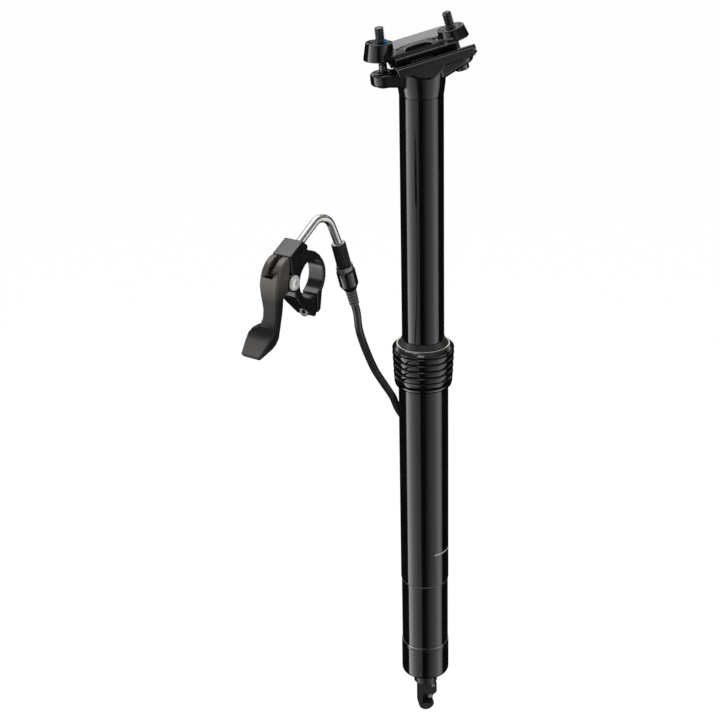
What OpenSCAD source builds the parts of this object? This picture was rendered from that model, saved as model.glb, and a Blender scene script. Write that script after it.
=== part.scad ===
// Dropper seatpost with a handlebar remote.
// The origin is on the post's axis at the underside of the collar, +Z is up the post,
// and -X is towards the front of the bicycle.

/* [Outer tube] */
// Wall of the outer tube where the frame clamps it
tube_wall = 1.55; // [1.25:0.05:1.9]
// Gap between the outer tube and the sliding tube, which the bushings fill
bushing_t = 0.9; // [0.75:0.05:1.1]
// Length below the collar that keeps the full diameter
clamp_len = 139; // [100:1:160]
// Step in radius down to the turned lower part
lower_step = 0.4; // [0.25:0.05:0.55]
// Depth of the screw threads that are turned off the tube's ends
thread_step = 0.45; // [0.2:0.05:0.6]
// Width of the key grooves in the bore
groove_w = 3.2; // [2.6:0.1:4]
// Depth of the key grooves in the bore
groove_depth = 0.5; // [0.3:0.05:0.6]

/* [Stanchion] */
// Outside diameter of the sliding tube
stanchion_d = 26; // [25:0.1:26.2]
// Wall of the sliding tube
stanchion_wall = 1.5; // [1.2:0.1:2]
// How far the post drops
travel = 150; // [125:5:170]
// Length of the sliding tube below the collar's underside at full height
insertion = 40; // [34:1:60]
// Gap left between the wiper and the head at full drop
stop_gap = 2.3; // [1:0.1:6]
// Gap left between the sliding tube and the floor of the bottom cap at full drop
floor_gap = 9; // [4:0.5:20]
// Length of the lower bushing
bushing_len = 18; // [12:1:24]
// Depth of the seat turned for the lower bushing
bushing_seat = 0.4; // [0.2:0.05:0.6]
// Length of the alignment keys
key_len = 12; // [8:1:16]
// Depth of the key pockets in the sliding tube
key_seat = 0.8; // [0.5:0.05:1]

/* [Collar] */
// How far the collar's rim stands out from the outer tube
rim_out = 3.65; // [2.6:0.05:5.5]
// How far the collar's lower edge stands out from the outer tube
foot_out = 2.25; // [1.6:0.05:3.5]
// Height of the rim's edge above the underside
rim_z = 24.6; // [22.5:0.1:28]
// Height of the collar's top face
collar_h = 27.2; // [25.5:0.1:32]
// Height of the thread inside the collar
collar_thread = 20; // [16:0.5:22]
// Number of grip grooves
grip_count = 4; // [2:1:5]
// Distance from one grip groove to the next
grip_pitch = 4.2; // [3:0.1:5]
// Width of a grip groove
grip_w = 2; // [1:0.1:2.6]
// Depth of a grip groove
grip_depth = 0.55; // [0.2:0.05:0.9]
// Width of the bevel at the foot of the collar
collar_bevel = 0.6; // [0.2:0.1:1]
// Height of the wiper's lip above the collar
lip_rise = 3.5; // [2:0.1:5]
// Distance from the wiper to the middle of the pale ring in the collar's top
accent_out = 0.55; // [0.4:0.05:0.85]
// Width of the pale ring
accent_w = 0.6; // [0.3:0.05:0.8]

/* [Cartridge] */
// Outside diameter of the gas cylinder
cylinder_d = 18; // [16:0.5:20]
// Wall of the gas cylinder
cylinder_wall = 1.5; // [1:0.1:2]
// Diameter of the piston rod
rod_d = 9; // [7:0.5:10]
// Length of the piston
piston_len = 8; // [5:0.5:12]
// Length of the cylinder's gland
gland_len = 6; // [4:0.5:9]
// Diameter of the valve pin
pin_d = 3; // [2:0.1:3.4]

/* [Bottom cap] */
// How far the bottom cap stands out from the lower part
cap_out = 0.4; // [0.2:0.05:0.45]
// Length of the cap's threaded skirt
skirt_len = 11; // [8:0.5:14]
// Thickness of the cap's floor
floor_t = 12; // [10:0.5:16]
// Rounding of the cap's lower edge
cap_round = 2.6; // [1:0.1:4]
// Bevel at the cap's upper edge
cap_bevel = 0.8; // [0.2:0.1:1.2]

/* [Foot actuator] */
// Diameter of the boss under the cap
boss_d = 15.4; // [14:0.1:17]
// Height of the boss
boss_h = 8.8; // [7:0.1:10]
// Width of the tongue
tongue_w = 10.4; // [9.6:0.1:12]
// Thickness of the tongue
tongue_t = 7; // [6.4:0.1:9]
// Length from the cap to the tongue's tip
tongue_len = 31.6; // [31:0.1:36]
// Thickness of the swinging lever
foot_lever_t = 3.2; // [2.4:0.1:4]
// Diameter of the lever's pivot pin
foot_pin_d = 2.4; // [2:0.1:3]

/* [Saddle clamp] */
// Slope of the clamp to the post, front down
clamp_tilt = 14; // [10:0.5:18]
// Height of the tilt axis above the top of the sliding tube
axis_rise = 26; // [25:0.5:30]
// Diameter of the saddle's rails
rail_d = 7; // [7:0.1:7.4]
// Distance between the rails
rail_spacing = 44; // [42:0.5:46]
// Gap between the two cradles inside the rails
jaw_gap = 1.5; // [1:0.1:2.4]
// Radius of the curved seat under the lower cradle
seat_r = 14; // [13:0.5:15]
// Length of the upper cradle
upper_len = 36; // [32:0.5:40]
// Wall outside a rail groove
rail_wall = 0.8; // [0.6:0.1:1.6]
// Diameter of the clamp bolts
bolt_d = 4.9; // [4:0.1:5.2]
// Radial room round a bolt in the nuts, which lets the clamp tilt
bolt_room = 0.75; // [0.7:0.05:1]
// Diameter of the bolt heads
bolt_head_d = 8.6; // [8:0.1:9.4]
// Diameter of the ears that hold the nuts, at their tops
ear_d = 15.4; // [14:0.2:16]
// How much wider than their tops the ears are at their feet
ear_flare = 3; // [0:0.2:3.4]

/* [Remote clamp] */
// Diameter of the handlebar
bar_d = 22.2; // [22:0.1:22.6]
// Wall of the clamp ring
ring_wall = 2.3; // [2:0.1:3]
// Width of the clamp ring
ring_w = 10; // [9:0.5:12]
// Width of the split at the bottom
split_w = 1.2; // [0.6:0.1:2]
// Width of the block that holds the cable tube
block_w = 11.8; // [11:0.1:13]
// Diameter of the clamp screw
clamp_screw_d = 3; // [2.5:0.1:4]

/* [Thumb lever] */
// Width of the lever's stem
stem_w = 9.2; // [8:0.1:10.4]
// Width of the thumb pad
pad_w = 16; // [14:0.5:18]
// Width of the slot for the cable
slot_w = 3; // [2.4:0.1:4]
// Thickness of the tongue that carries the lever
lever_tongue_w = 4; // [3:0.1:4.4]
// Radius of the tongue's rounded end
tongue_end_r = 4; // [3.6:0.1:4.2]
// Diameter of the pivot screw's shank
pivot_d = 5; // [4:0.1:5]
// Diameter of the pivot screw's head
pivot_head_d = 8.7; // [7:0.1:9.4]

/* [Cable parts] */
// Outside diameter of the curved cable tube
noodle_d = 4.6; // [4:0.1:5]
// Bore of the curved cable tube
noodle_bore = 2.2; // [1.6:0.1:2.6]
// Bend radius of the curved cable tube
noodle_r = 7.5; // [6:0.1:8.5]
// Diameter of the adjuster's knurled barrel
barrel_d = 8.2; // [7.6:0.1:9]
// Length of the adjuster's knurled barrel
barrel_len = 14.2; // [11:0.1:16]
// Diameter of the adjuster's bright ring
band_d = 9.6; // [9:0.1:10]
// Width of the adjuster's bright ring
band_len = 2.6; // [1.5:0.1:4]
// Diameter of the adjuster's lower body
body_d = 10.6; // [10:0.1:11.4]
// Length of the adjuster's lower body
body_len = 13; // [10:0.1:15]
// Diameter of the rubber boot
boot_d = 6.2; // [5.8:0.1:7]
// Length of the rubber boot
boot_len = 10.2; // [8:0.1:12]
// Outside diameter of the cable housing
housing_d = 4.6; // [4.6:0.1:4.6]
// Number of turns in the hank
hank_turns = 4; // [2:1:4]
// Length of the hank's straight runs
hank_run = 90; // [60:1:92]

/* [Hidden] */

$fn = 64;
// Overshoot of a cutting solid past the face that it cuts
cut = 1;
// Radial clearance of a running fit
run = 0.05;
// Side clearance between parts that swing past each other
swing = 0.4;
// Number of sides of the head's rounded blocks
facets = 32;

// Radii and heights of the post, worked out from the sizes above
stanchion_r = stanchion_d / 2;
stanchion_bore_r = stanchion_r - stanchion_wall;
bore_r = stanchion_r + bushing_t;
tube_r = bore_r + tube_wall;
lower_r = tube_r - lower_step;
cap_r = lower_r + cap_out;
top_thread_r = tube_r - thread_step;
foot_thread_r = lower_r - thread_step;
rim_r = tube_r + rim_out;
collar_foot_r = tube_r + foot_out;
accent_r = tube_r + accent_out;
// Depth of the pale ring's groove, and how far the ring stands out of it
accent_depth = 0.5;
accent_proud = 0.15;
// Width and height of the rubber lip that wipes the sliding tube
lip_w = 0.55;
lip_h = 1.2;
// Slope at the ends of the turned steps
step_slope = 0.4;
lip_z = collar_h + lip_rise;
neck_z = lip_z + travel + stop_gap;
floor_z = -(insertion + travel + floor_gap);
cap_z = floor_z + skirt_len;
cap_foot_z = floor_z - floor_t;
bushing_z = -insertion + bushing_len;
key_z = bushing_z + 3;
key_count = 3;
key_play = 0.1;
groove_top_z = key_z + key_len + 2;
groove_foot_z = key_z - travel - 3;
upper_bushing_z = groove_top_z + 1;
seal_r = tube_r;
// Gap inside the wiper below its lip, and width of the rim above the first grip groove
seal_gap = 0.4;
rim_edge = 0.2;

// Cartridge heights
spigot_len = 16;
stud_len = 8;
stud_r = 4;
cylinder_top_z = neck_z - spigot_len;
cylinder_r = cylinder_d / 2;
cylinder_bore_r = cylinder_r - cylinder_wall;
rod_r = rod_d / 2;
pin_r = pin_d / 2;
gland_z = -15;
piston_z = gland_z + gland_len + 6;
rod_seat = 5;
rod_drill = 22;
pin_room = 0.3;
crown_t = 4;

// Foot actuator
bracket_thread_r = 6;
bracket_thread_len = 5;
pin_reach = 1.2;
lift_arm = 4.6;
lift_toe = 1.6;
lever_back = 7.4;
tip_z = cap_foot_z - tongue_len;
tongue_r = tongue_w / 2;
tongue_x = -0.1;
slot_t = foot_lever_t + swing;
slot_wall = 2.4;
pin_foot_z = cap_foot_z - boss_h - pin_reach;
foot_pivot = [lift_arm, pin_foot_z - 2.8];
anchor_at = [2.9, foot_pivot[1] - 8.8];
anchor_r = 1.6;
// Heights of the lever below the foot of the valve pin: its top face, its shoulders and its knee
lever_fall = [0.3, 2.5, 5];
anchor_boss_r = 2.1;
// How far the cable's anchor stands out of the lever's middle towards the window
anchor_reach = 2.8;
stop_hole_r = 1.1;
// The front edge, foot and top of the window in the near cheek
window = [-2.6, anchor_at[1] - 5, anchor_at[1] + 2.7];

// Saddle clamp, in a frame tilted about its axis
axis_z = neck_z + axis_rise;
rail_r = rail_d / 2;
rail_y = rail_spacing / 2;
lip = jaw_gap / 2;
jaw_y = rail_y + rail_r + rail_wall;
lower_rim = -0.1;
lower_side = 4.8;
lower_floor = -8.5;
lower_front = -18.5;
lower_rear = 28;
arm_in = rail_y - rail_r - 1.5;
web_y = 12;
// Breadth and height of the sloping underside below a rail
bilge = [6, 1.6];
// Half the side of the square that bevels the rear corners, and where the underside starts to rise there
corner = 2;
tail_rise = [16, -3];
web_front = -12.5;
web_rear = 16;
// A thin bridge joins the jaws in front of the web: its front edge, underside and top
bridge = [-18, -6.2, -1.6];
upper_y = rail_y - 1.4;
upper_rim = 4.3;
// Half widths of the mouth between the lower jaws and of the dish in the upper cradle
mouth_y = 10.4;
dish_y = 7.4;
dish_edge = 3.1;
dish_floor = 2.2;
window_y = 6.4;
upper_edge = 1.6;
// Length and half width of the nose towards the front ear
nose = [6, 5.5];
// Distances from the cradle's front and rear to the dish and to the window in it
dish_margin = [3, 6.5];
window_margin = [9, 11.5];
// Distance from each bolt's named point down to the foot of its hole in the upper cradle
hole_foot = [4, 0];
// How far a nut sits in its ear
nut_sink = 4;
// Each bolt has a point on its axis, relative to the tilt axis, its lean towards the front,
// and the distances from that point up to its tip and down to its head
front_bolt = [-22.3, -7];
front_lean = 5;
front_up = 21.5;
front_down = 10.1;
rear_bolt = [21.5, -3.5];
rear_lean = 16;
rear_up = 25.4;
rear_down = 6.3;
bolt_r = bolt_d / 2;
nut_r = 5;
nut_h = 7;
nut_front = 12.5;
nut_rear = 15.9;
ear_r = ear_d / 2;
ear_x = -24.3;
ear_z = -4.5;
ear_h = 10.3;
ear_rear = [8.5, 7.7];
washer_t = 1.6;
washer_play = 0.1;
bolt_chamfer = 0.5;
bolt_hex = 4.6;
bolt_hex_depth = 2.4;
// Radial room round the bolts in the head, and room round the lower cradle's web
bolt_gap = 0.45;
web_room = 1.5;
// Slices of the head's flare: height above the neck, thickness, and breadth along X and Y in tube radii
flare = [[0, 2, 1, 1], [7, 1, 1.08, 1], [15, 3, 1.1, 0.94]];
// Roots of the two lugs in the flare: X, height above the neck, radius and thickness
front_root = [-6, 6.5, 9, 6.5];
rear_root = [6, 10, 8.4, 7];
lug_r = 8;
lug_bevel = 1.2;
front_lug = [-12, -4.5];
rear_lug = [-5.6, -0.8];
bolt_head_h = 3.2;

// Remote: its place, its turn about Z, and points of its side profile as [Y, Z] from the bar's centre
remote_at = [-80.5, -82.9, 107.9];
remote_turn = -42;
bar_r = bar_d / 2;
ring_r = bar_r + ring_wall;
near_x = ring_w / 2;
block_far_x = near_x - block_w;
pivot = [-16.1, 3.1];
pivot_r = pivot_d / 2;
ear_near_t = 3.8;
ear_boss_r = 5.2;
tongue_play = 0.2;
tongue_near_x = near_x - ear_near_t - tongue_play;
tongue_far_x = tongue_near_x - lever_tongue_w;
bush_t = 0.6;
split_y = 3.2;
screw_at = [1.5, -3.9, -18.6];
screw_head_r = 2.8;
screw_head_h = 3;
screw_end = 6.4;
screw_hex = 2.5;
screw_hex_depth = 1.6;
pivot_head_h = [1.1, 0.7];
pivot_bevel = 0.8;
pivot_hex = 3.2;
pivot_hex_depth = 3;
slot_x = -1.2;
barrel_at = [-25, 10.6];
barrel_r = 2.4;
barrel_face = 3;
cable_bore_r = 1.4;
cable_stub = [0.7, 9.5, -35];
// Outlines of the clamp from the side, as [Y, Z]: body behind the bar, cable block and screw's lug
clamp_back = [
    [-18.8, 18.7], [-7, 24], [-2.6, 20.2], [-3.2, 17.2], [0, 16.4], [4.2, 14.6], [8.6, 11], [9.4, 9.6],
    [0, 0], [-9, -9], [-16.1, -2.1], [-18, 10]
];
cable_block = [[-18.8, 18.7], [-7, 24], [-2.6, 20.2], [-6, 15.4], [-17.9, 12.6]];
screw_lug = [
    [-16.1, -2.1], [-15.2, -5.5], [-12.4, -10], [-1.2, -21.2], [1.5, -22.6], [7.4, -20.2], [9.4, -9.6], [0, 0]
];
// Outline of the fork's slot for the lever's tongue
fork_slot = [
    [-40, -14], [-19, -2.4], [pivot[0], pivot[1] - 4.6], [pivot[0], pivot[1] + 4.6], [-18.2, 9.2], [-40, 30]
];
// Outlines cut from the lever beside its tongue, and above the cable's barrel
lever_cheek = [[pivot[0], -12], [-21, -5], [-21, 3.1], [-18.6, 9], [-18.6, 12], [0, 12], [0, -12]];
cable_slot = [[-17, 24], [-19, 14], [-21.6, 10.4], [-26, 9.4], [-31, 10.2], [-36, 13], [-30, 24]];
// Length that passes any part of the remote, for cuts
beyond = 60;

// Cable tube: where it leaves the block, the direction of its second leg and of the adjuster
noodle_start = [1.3, -3.8, 22.4];
noodle_end = [9, 20.2, 15];
leg_tilt = 161.8;
leg_turn = 41.2;
leg_len = 21.4;
adjuster_tilt = 165.4;
adjuster_turn = 70.4;
noodle_sink = 3;
// Depth of the cable tube's end in the block, and numbers of sides of its outer and inner faces
noodle_seat = 6;
noodle_sides = [20, 10];
spigot_r = 2.6;
spigot_out = 6;
adjuster_bore_r = 1.3;
// Flutes in the barrel: number, radius, distance of their axes outside it, and plain length at its top
flute_count = 12;
flute_r = 0.65;
flute_out = 0.2;
flute_top = 2;
barrel_bevel = [0.4, 0.6];
mouth_flare = [1.1, 0.3, 2];
body_bevel = [0.5, 1];
body_nose = [1.8, 3.4];
// Ribs of the boot: number, depth and how much each is slimmer than the last
rib_count = 5;
rib_depth = 0.45;
rib_taper = 0.08;
band_z = barrel_len;
body_z = band_z + band_len;
boot_z = body_z + body_len;

// Housing: the lead's points between the boot and the hank, in round numbers
lead_middle = [
    [-48.8, -65.4, 67.5], [-45.8, -60, 56.5], [-42.5, -53, 46.5], [-39, -44, 36.5], [-35, -34, 26],
    [-30, -23, 15], [-24.5, -10.5, 3], [-19, 1.4, -9], [-15.5, 12, -19.5], [-11.5, 22, -29.5],
    [-7.5, 31, -38.5], [-4.5, 39.5, -48.5], [-3, 45, -58.5]
];
housing_r = housing_d / 2;
lead_sides = 8;
// Hank: its folds lie in planes that hold the direction from the camera, so its runs lie one behind another
hank_turn = 8;
hank_top_z = -76;
hank_at = [0, 33];
hank_fold_r = 13.9;
hank_first = -9.2;
hank_step = 5.3;
hank_waist = 4.5;
across = [cos(hank_turn), -sin(hank_turn), 0];
behind = [sin(hank_turn), cos(hank_turn), 0];
fold_len = PI * hank_fold_r;
turn_len = 2 * hank_run + 2 * fold_len;
hank_rings = 24;
hank_sides = 6;
tie_t = 1.2;
tie_h = 12;
tie_round = 2;
tie_room = 0.25;
ferrule_crimp = [1, 2];
ferrule_len = 12;
ferrule_r = 2.9;
inner_len = 22;
inner_r = 0.6;
nipple_len = 5;
nipple_r = 1.7;

// Rotates and moves children so that their Z axis leans by tilt towards the direction turn
module aim(at, tilt, turn) translate(at) rotate([0, tilt, turn]) children();

// A ring or tube about Z, from z0 up to z1
module ring(outer, inner, z0, z1) difference() {
    translate([0, 0, z0]) cylinder(r = outer, h = z1 - z0);
    translate([0, 0, z0 - cut]) cylinder(r = inner, h = z1 - z0 + 2 * cut);
}

// A solid cylinder about Z, from z0 up to z1
module rod(r, z0, z1) translate([0, 0, z0]) cylinder(r = r, h = z1 - z0);

// A box between two opposite corners
module block(a, b) translate(a) cube([b[0] - a[0], b[1] - a[1], b[2] - a[2]]);

// A solid whose outline in X and Z is extruded from y0 to y1
module xz_plate(points, y0, y1) translate([0, y1, 0]) rotate([90, 0, 0])
    linear_extrude(y1 - y0) polygon(points);

// A solid whose outline in Y and Z is extruded from x0 to x1
module yz_plate(points, x0, x1) translate([x0, 0, 0]) rotate([90, 0, 90])
    linear_extrude(x1 - x0) polygon(points);

// A cylinder along Y through a point in X and Z
module y_rod(p, r, y0, y1) translate([p[0], y1, p[1]]) rotate([90, 0, 0]) cylinder(r = r, h = y1 - y0);

// A cylinder along X through a point in Y and Z
module x_rod(p, r, x0, x1) translate([x0, p[0], p[1]]) rotate([0, 90, 0]) cylinder(r = r, h = x1 - x0);

// Post

module outer_tube() color([0.06, 0.06, 0.07]) difference() {
    rotate_extrude() polygon([
        [bore_r, collar_thread], [top_thread_r, collar_thread], [top_thread_r, 0], [tube_r, 0],
        [tube_r, -clamp_len + step_slope], [lower_r - step_slope / 2, -clamp_len],
        [lower_r, -clamp_len - step_slope],
        [lower_r, cap_z], [foot_thread_r, cap_z], [foot_thread_r, floor_z + step_slope],
        [bore_r, floor_z + step_slope]
    ]);
    for (k = [0 : key_count - 1]) rotate([0, 0, k * 360 / key_count])
        block([bore_r - cut, -groove_w / 2, groove_foot_z],
              [bore_r + groove_depth, groove_w / 2, groove_top_z]);
}

// Outline of the collar's side at a height, from the foot's radius to the rim's
function collar_side(z) = collar_foot_r + (rim_r - collar_foot_r) * z / rim_z;
function grip_low(k) = rim_z - rim_edge - grip_w - k * grip_pitch;

module collar() color([0.07, 0.07, 0.08]) rotate_extrude() polygon(concat(
    [[top_thread_r, 0], [collar_foot_r - collar_bevel, 0], [collar_side(collar_bevel), collar_bevel]],
    [for (k = [grip_count - 1 : -1 : 0], s = [0 : 3])
        [collar_side(grip_low(k)) - (s == 1 || s == 2 ? grip_depth : 0),
         grip_low(k) + [0, 0.25, 0.75, 1][s] * grip_w]],
    [[rim_r, rim_z], [accent_r + accent_w, collar_h], [accent_r + accent_w / 2, collar_h],
     [accent_r + accent_w / 2, collar_h - accent_depth], [accent_r - accent_w / 2, collar_h - accent_depth],
     [accent_r - accent_w / 2, collar_h], [seal_r, collar_h], [seal_r, collar_thread],
     [top_thread_r, collar_thread]]
));

module wiper_seal() color([0.1, 0.1, 0.11]) rotate_extrude() polygon([
    [stanchion_r + seal_gap, collar_thread], [seal_r, collar_thread], [seal_r, collar_h - 0.3],
    [seal_r - 0.5, collar_h + 0.5], [stanchion_r + lip_w, lip_z], [stanchion_r + run, lip_z],
    [stanchion_r + run, lip_z - lip_h], [stanchion_r + seal_gap, lip_z - 2 * lip_h]
]);

module accent_ring() color([0.72, 0.64, 0.52])
    ring(accent_r + accent_w / 2, accent_r - accent_w / 2, collar_h - accent_depth, collar_h + accent_proud);

module upper_bushing() color([0.5, 0.42, 0.3])
    ring(bore_r, stanchion_r + run, upper_bushing_z, collar_thread - step_slope);

module bottom_cap() color([0.06, 0.06, 0.07]) difference() {
    union() {
        rotate_extrude() polygon(concat(
            [[foot_thread_r, cap_z], [lower_r, cap_z], [cap_r, cap_z - cap_bevel]],
            [for (k = [0 : 6]) let (t = k * 15)
                [cap_r - cap_round * (1 - cos(t)), cap_foot_z + cap_round * (1 - sin(t))]],
            [[rod_r, cap_foot_z], [rod_r, floor_z], [foot_thread_r, floor_z]]
        ));
        rod(rod_r + cut, cap_foot_z, floor_z - rod_seat);
    }
    rod(rod_r, floor_z - rod_seat, floor_z + cut);
    rod(bracket_thread_r, cap_foot_z - cut, cap_foot_z + bracket_thread_len);
    rod(pin_r + pin_room, cap_foot_z, floor_z);
}

module cartridge_rod() color([0.75, 0.76, 0.78]) difference() {
    rod(rod_r, floor_z - rod_seat, piston_z);
    rod(pin_r + run, floor_z - rod_seat - cut, floor_z + rod_drill);
}

module cartridge_piston() color([0.7, 0.6, 0.35])
    rod(cylinder_bore_r - run, piston_z, piston_z + piston_len);

module actuator_bracket() color([0.09, 0.09, 0.1]) difference() {
    union() {
        rod(bracket_thread_r, cap_foot_z, cap_foot_z + bracket_thread_len);
        rod(boss_d / 2, cap_foot_z - boss_h, cap_foot_z);
        block([tongue_x - tongue_r, -tongue_t / 2, tip_z + tongue_r],
              [tongue_x + tongue_r, tongue_t / 2, cap_foot_z - boss_h]);
        y_rod([tongue_x, tip_z + tongue_r], tongue_r, -tongue_t / 2, tongue_t / 2);
    }
    rod(pin_r + pin_room, cap_foot_z - boss_h - cut, cap_foot_z + bracket_thread_len + cut);
    block([tongue_x - tongue_r + slot_wall, -slot_t / 2, window[1]],
          [tongue_x + tongue_r + cut, slot_t / 2, cap_foot_z - boss_h]);
    block([window[0], -tongue_t / 2 - cut, window[1]],
          [tongue_x + tongue_r + cut, slot_t / 2, window[2]]);
    y_rod(foot_pivot, foot_pin_d / 2, -tongue_t / 2 - cut, tongue_t / 2 + cut);
    x_rod([0, anchor_at[1]], stop_hole_r, tongue_x - tongue_r - cut, window[0] + cut);
}

module actuator_pivot_pin() color([0.7, 0.7, 0.72])
    y_rod(foot_pivot, foot_pin_d / 2, -tongue_t / 2, tongue_t / 2);

// Sliding post

module stanchion() color([0.06, 0.06, 0.07]) difference() {
    union() {
        ring(stanchion_r, stanchion_bore_r, bushing_z, neck_z);
        ring(stanchion_r - bushing_seat, stanchion_bore_r, -insertion, bushing_z);
    }
    for (k = [0 : key_count - 1]) rotate([0, 0, k * 360 / key_count])
        block([stanchion_r - key_seat, -groove_w / 2 + key_play, key_z],
              [stanchion_r + cut, groove_w / 2 - key_play, key_z + key_len]);
}

module lower_bushing() color([0.5, 0.42, 0.3])
    ring(bore_r - run, stanchion_r - bushing_seat, -insertion, bushing_z);

module alignment_keys() color([0.78, 0.62, 0.28])
    for (k = [0 : key_count - 1]) rotate([0, 0, k * 360 / key_count])
        block([stanchion_r - key_seat, -groove_w / 2 + key_play, key_z],
              [bore_r + groove_depth - key_play, groove_w / 2 - key_play, key_z + key_len]);

module cartridge_cylinder() color([0.55, 0.56, 0.6]) difference() {
    union() {
        rod(cylinder_r, gland_z, cylinder_top_z);
        rod(stud_r, cylinder_top_z, cylinder_top_z + stud_len);
    }
    rod(cylinder_bore_r, gland_z - cut, cylinder_top_z - crown_t);
}

module cartridge_gland() color([0.3, 0.3, 0.32])
    ring(cylinder_bore_r, rod_r + run, gland_z, gland_z + gland_len);

// Places children on a bolt's axis, with Z along the bolt and zero at its named point
module bolt_axis(at, lean) translate([at[0], 0, axis_z + at[1]]) rotate([0, -lean, 0]) children();
module front_axis() bolt_axis(front_bolt, front_lean) children();
module rear_axis() bolt_axis(rear_bolt, rear_lean) children();

// A rounded slab on a bolt's axis, between two distances along it
module slab(span) {
    translate([0, 0, span[0]]) cylinder(r = lug_r - lug_bevel, h = span[1] - span[0], $fn = facets);
    translate([0, 0, span[0] + lug_bevel])
        cylinder(r = lug_r, h = span[1] - span[0] - 2 * lug_bevel, $fn = facets);
}

module post_head() color([0.07, 0.07, 0.08]) difference() {
    union() {
        rod(stanchion_bore_r, neck_z - spigot_len, neck_z);
        hull() for (f = flare) translate([0, 0, neck_z + f[0]]) scale([f[2], f[3], 1])
            cylinder(r = stanchion_r, h = f[1], $fn = 2 * facets);
        hull() {
            front_axis() slab(front_lug);
            translate([front_root[0], 0, neck_z + front_root[1]])
                cylinder(r = front_root[2], h = front_root[3], $fn = facets);
        }
        hull() {
            rear_axis() slab(rear_lug);
            translate([rear_root[0], 0, neck_z + rear_root[1]])
                cylinder(r = rear_root[2], h = rear_root[3], $fn = facets);
        }
    }
    y_rod([0, axis_z], seat_r + run, -stanchion_d, stanchion_d);
    tilted() block([web_front - web_room, -stanchion_d, lower_floor - web_room],
                   [web_rear + web_room, stanchion_d, seat_r]);
    tilted() block([bridge[0] - web_room, -mouth_y - web_room, bridge[1] - web_room],
                   [web_front, mouth_y + web_room, seat_r]);
    front_axis() rod(bolt_r + bolt_gap, -front_down - lug_r, front_up);
    rear_axis() rod(bolt_r + bolt_gap, -rear_down - lug_r, rear_up);
    front_axis() rod(bolt_head_d / 2 + bolt_gap, -front_down - lug_r, -front_down + washer_t);
    rear_axis() rod(bolt_head_d / 2 + bolt_gap, -rear_down - lug_r, -rear_down + washer_t);
    rod(stud_r, cylinder_top_z - cut, cylinder_top_z + stud_len);
}

// A bolt with a socket head below and a chamfered tip above
module clamp_bolt(down, up) difference() {
    union() {
        rod(bolt_r, -down, up - bolt_chamfer);
        translate([0, 0, up - bolt_chamfer])
            cylinder(r1 = bolt_r, r2 = bolt_r - bolt_chamfer, h = bolt_chamfer);
        rod(bolt_head_d / 2, -down - bolt_head_h, -down);
    }
    translate([0, 0, -down - bolt_head_h - cut]) cylinder(d = bolt_hex, h = bolt_hex_depth + cut, $fn = 6);
}

module clamp_bolts() color([0.08, 0.08, 0.09]) {
    front_axis() clamp_bolt(front_down, front_up);
    rear_axis() clamp_bolt(rear_down, rear_up);
}

module bolt_washers() color([0.55, 0.55, 0.57]) {
    front_axis() ring(bolt_head_d / 2, bolt_r + washer_play, -front_down, -front_down + washer_t);
    rear_axis() ring(bolt_head_d / 2, bolt_r + washer_play, -rear_down, -rear_down + washer_t);
}

// Saddle clamp, drawn with its rails level and then tilted
module tilted() translate([0, 0, axis_z]) rotate([0, -clamp_tilt, 0]) children();

// A stadium outline along X, from x0 to x1
module stadium(x0, x1, r, z0, z1) {
    for (x = [x0 + r, x1 - r]) translate([x, 0, 0]) rod(r, z0, z1);
    block([x0 + r, -r, z0], [x1 - r, r, z1]);
}

module rail_grooves(x0, x1) for (s = [-1, 1]) x_rod([s * rail_y, 0], rail_r, x0 - cut, x1 + cut);

module lower_cradle() color([0.08, 0.08, 0.09]) tilted() difference() {
    union() {
        yz_plate([
            [-jaw_y, lower_rim], [-jaw_y, -lower_side], [-jaw_y + bilge[0], lower_floor + bilge[1]],
            [-web_y, lower_floor], [web_y, lower_floor],
            [jaw_y - bilge[0], lower_floor + bilge[1]], [jaw_y, -lower_side], [jaw_y, lower_rim],
            [rail_y, lower_rim], [rail_y, -lip], [-rail_y, -lip], [-rail_y, lower_rim]
        ], lower_front, lower_rear);
        intersection() {
            y_rod([0, 0], seat_r, -web_y, web_y);
            block([web_front, -web_y, -seat_r], [web_rear, web_y, lower_floor / 2]);
        }
    }
    rail_grooves(lower_front, lower_rear);
    block([lower_front - cut, -mouth_y, -seat_r], [bridge[0], mouth_y, seat_r]);
    block([bridge[0] - cut, -mouth_y, -seat_r], [web_front, mouth_y, bridge[1]]);
    block([bridge[0] - cut, -mouth_y, bridge[2]], [web_front, mouth_y, seat_r]);
    block([web_rear, -arm_in, -seat_r], [lower_rear + cut, arm_in, seat_r]);
    for (s = [-1, 1]) translate([lower_rear, s * jaw_y, 0]) rotate([0, 0, 45])
        block([-corner, -corner, -seat_r], [corner, corner, seat_r]);
    xz_plate([
        [tail_rise[0], lower_floor - cut], [lower_rear + cut, tail_rise[1]],
        [lower_rear + cut, lower_floor - cut]
    ], -jaw_y - cut, jaw_y + cut);
}

// One of the upper cradle's ears, which narrows upwards
module ear(h) cylinder(r1 = ear_r + ear_flare / 2, r2 = ear_r, h = h);

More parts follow.
